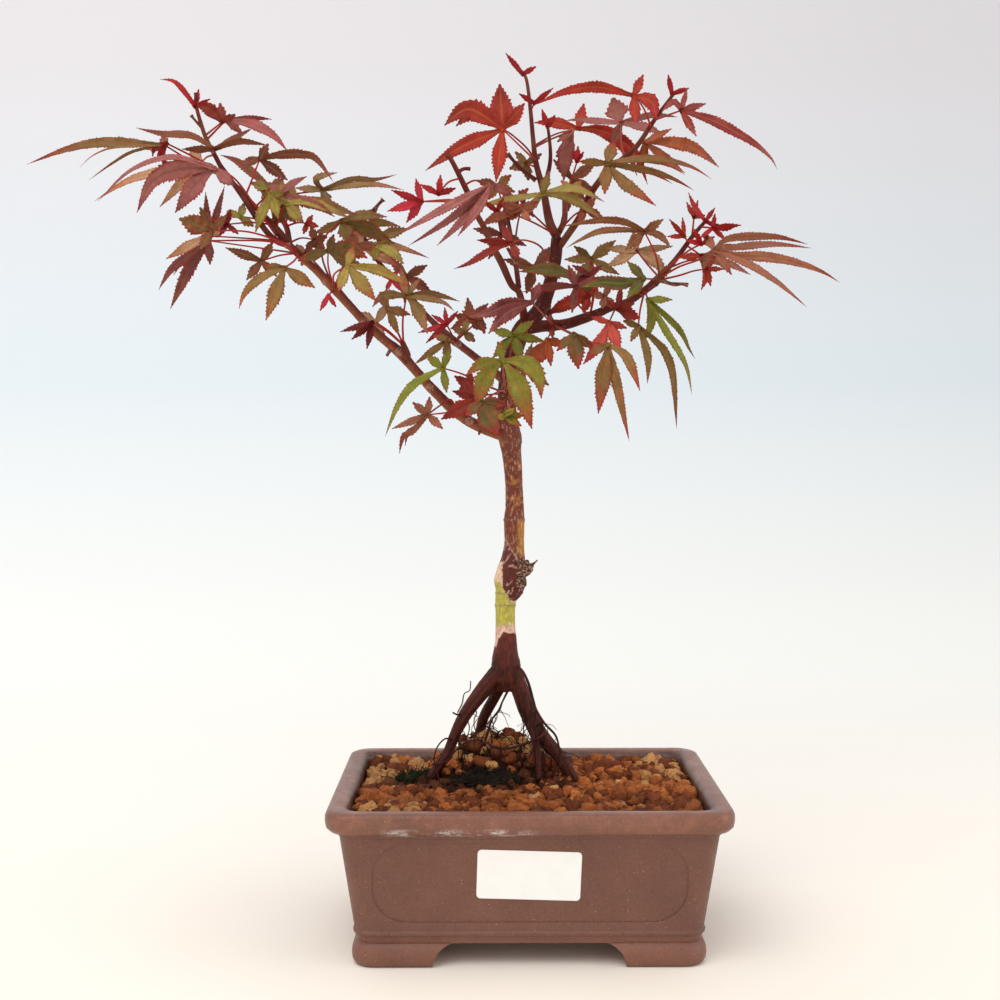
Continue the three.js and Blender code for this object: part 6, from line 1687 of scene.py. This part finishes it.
def backdrop(settings):
    """The pale floor, bent up into a wall behind the tree, with painted light falloff over it."""
    bpy.ops.mesh.primitive_plane_add(size=1, location=(0, FLOOR_BACK - FLOOR_Y / 2, 0))
    sweep = added("backdrop")
    sweep.scale = (FLOOR_X, FLOOR_Y, 1)
    settle(sweep)
    for point in sweep.data.vertices:
        point.select = point.co.y > 0
    for edge in sweep.data.edges:
        edge.select = all(sweep.data.vertices[i].select for i in edge.vertices)
    for face in sweep.data.polygons:
        face.select = False
    angles = [math.pi / 2 * i / BEND_STEPS for i in range(BEND_STEPS + 1)]
    line = [Vector((0, BEND * math.sin(angle), BEND * (1 - math.cos(angle)))) for angle in angles]
    line.append(line[-1] + Vector((0, 0, WALL_HIGH)))
    bpy.ops.object.mode_set(mode="EDIT")
    bpy.ops.mesh.select_mode(type="EDGE")
    for last, spot in zip(line, line[1:]):
        bpy.ops.mesh.extrude_region_move(TRANSFORM_OT_translate={"value": spot - last})
    bpy.ops.object.mode_set(mode="OBJECT")
    select(sweep)
    bpy.ops.object.shade_smooth()
    shade = Shade("paper_sweep", roughness=0.9, specular=0.1)
    x, away, height = shade.part()
    # Painted light: the sheet turns pale blue and then a darker grey white up the wall, and it is painted
    # brighter on the left than on the right.
    tone = shade.mix(shade.step(away, -0.1, 0.7), settings.floor, settings.white)
    tone = shade.mix(shade.step(height, 0.02, 0.34), tone, settings.middle)
    tone = shade.mix(shade.step(height, 0.4, 0.95), tone, settings.top)
    shade.finish(sweep, shade.bright(tone, shade.step(x, -0.8, 0.8, 1.07, 0.93)))
    return sweep


def area_light(name, power):
    """One of the soft rectangular lights, turned to the tree."""
    place, width, height = LIGHTS[name]
    data = bpy.data.lights.new(name, "AREA")
    data.shape = "RECTANGLE"
    data.size, data.size_y = width, height
    data.energy = power
    light = placed(name, data)
    light.location = CENTRE + Vector(place)
    light.rotation_euler = (Vector(AIM) - Vector(place)).to_track_quat("-Z", "Y").to_euler()
    return light


class BONSAI_OT_stage(bpy.types.Operator):
    """Adds the camera, the pale floor with its backdrop and the studio light"""

    bl_idname = "bonsai.stage"
    bl_label = "Stage"
    bl_options = {"REGISTER", "UNDO"}

    def execute(self, context):
        scene = context.scene
        settings = scene.bonsai_stage
        data = bpy.data.cameras.new("camera")
        data.lens, data.sensor_width = settings.lens, SENSOR
        data.clip_start, data.clip_end = NEAR, FAR
        scene.camera = camera = placed("camera", data)
        camera.location = CENTRE + EYE * MM
        camera.rotation_euler = (math.pi / 2 - settings.pitch, 0, -settings.yaw)
        deselect()
        sweep = backdrop(settings)
        key = area_light("key", settings.key)
        side = area_light("side", settings.fill)
        world = bpy.data.worlds.new("sky")
        world.use_nodes = True
        sky = world.node_tree.nodes["Background"].inputs
        sky["Color"].default_value = (1, 1, 1, 1)
        sky["Strength"].default_value = settings.sky
        scene.world = world
        scene.view_settings.view_transform = "Standard"
        return {"FINISHED"}


STEPS = (BONSAI_OT_stage, BONSAI_OT_pot, BONSAI_OT_label, BONSAI_OT_screens, BONSAI_OT_soil,
         BONSAI_OT_moss, BONSAI_OT_wood, BONSAI_OT_leaves)


class BONSAI_PT_panel(bpy.types.Panel):
    """The bonsai's steps and settings"""

    bl_idname = "BONSAI_PT_panel"
    bl_label = "Broom maple bonsai"
    bl_space_type = "VIEW_3D"
    bl_region_type = "UI"
    bl_category = "Bonsai"

    def draw(self, context):
        for step in STEPS:
            self.layout.operator(step.bl_idname, text=step.bl_label)
        for name, group in GROUPS.items():
            box = self.layout.box()
            for key in group.__annotations__:
                box.prop(getattr(context.scene, name), key)


CLASSES = (*GROUPS.values(), *STEPS, BONSAI_PT_panel)


def register():
    for each in CLASSES:
        bpy.utils.register_class(each)
    for name, group in GROUPS.items():
        setattr(bpy.types.Scene, name, bpy.props.PointerProperty(type=group))


def unregister():
    for name in GROUPS:
        delattr(bpy.types.Scene, name)
    for each in reversed(CLASSES):
        bpy.utils.unregister_class(each)


def main():
    register()
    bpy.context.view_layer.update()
    bpy.ops.bonsai.stage()
    bpy.ops.bonsai.pot()
    bpy.ops.bonsai.label()
    bpy.ops.bonsai.screens()
    bpy.ops.bonsai.soil()
    bpy.ops.bonsai.moss()
    bpy.ops.bonsai.wood()
    bpy.ops.bonsai.leaves()


if __name__ == "__main__":
    main()
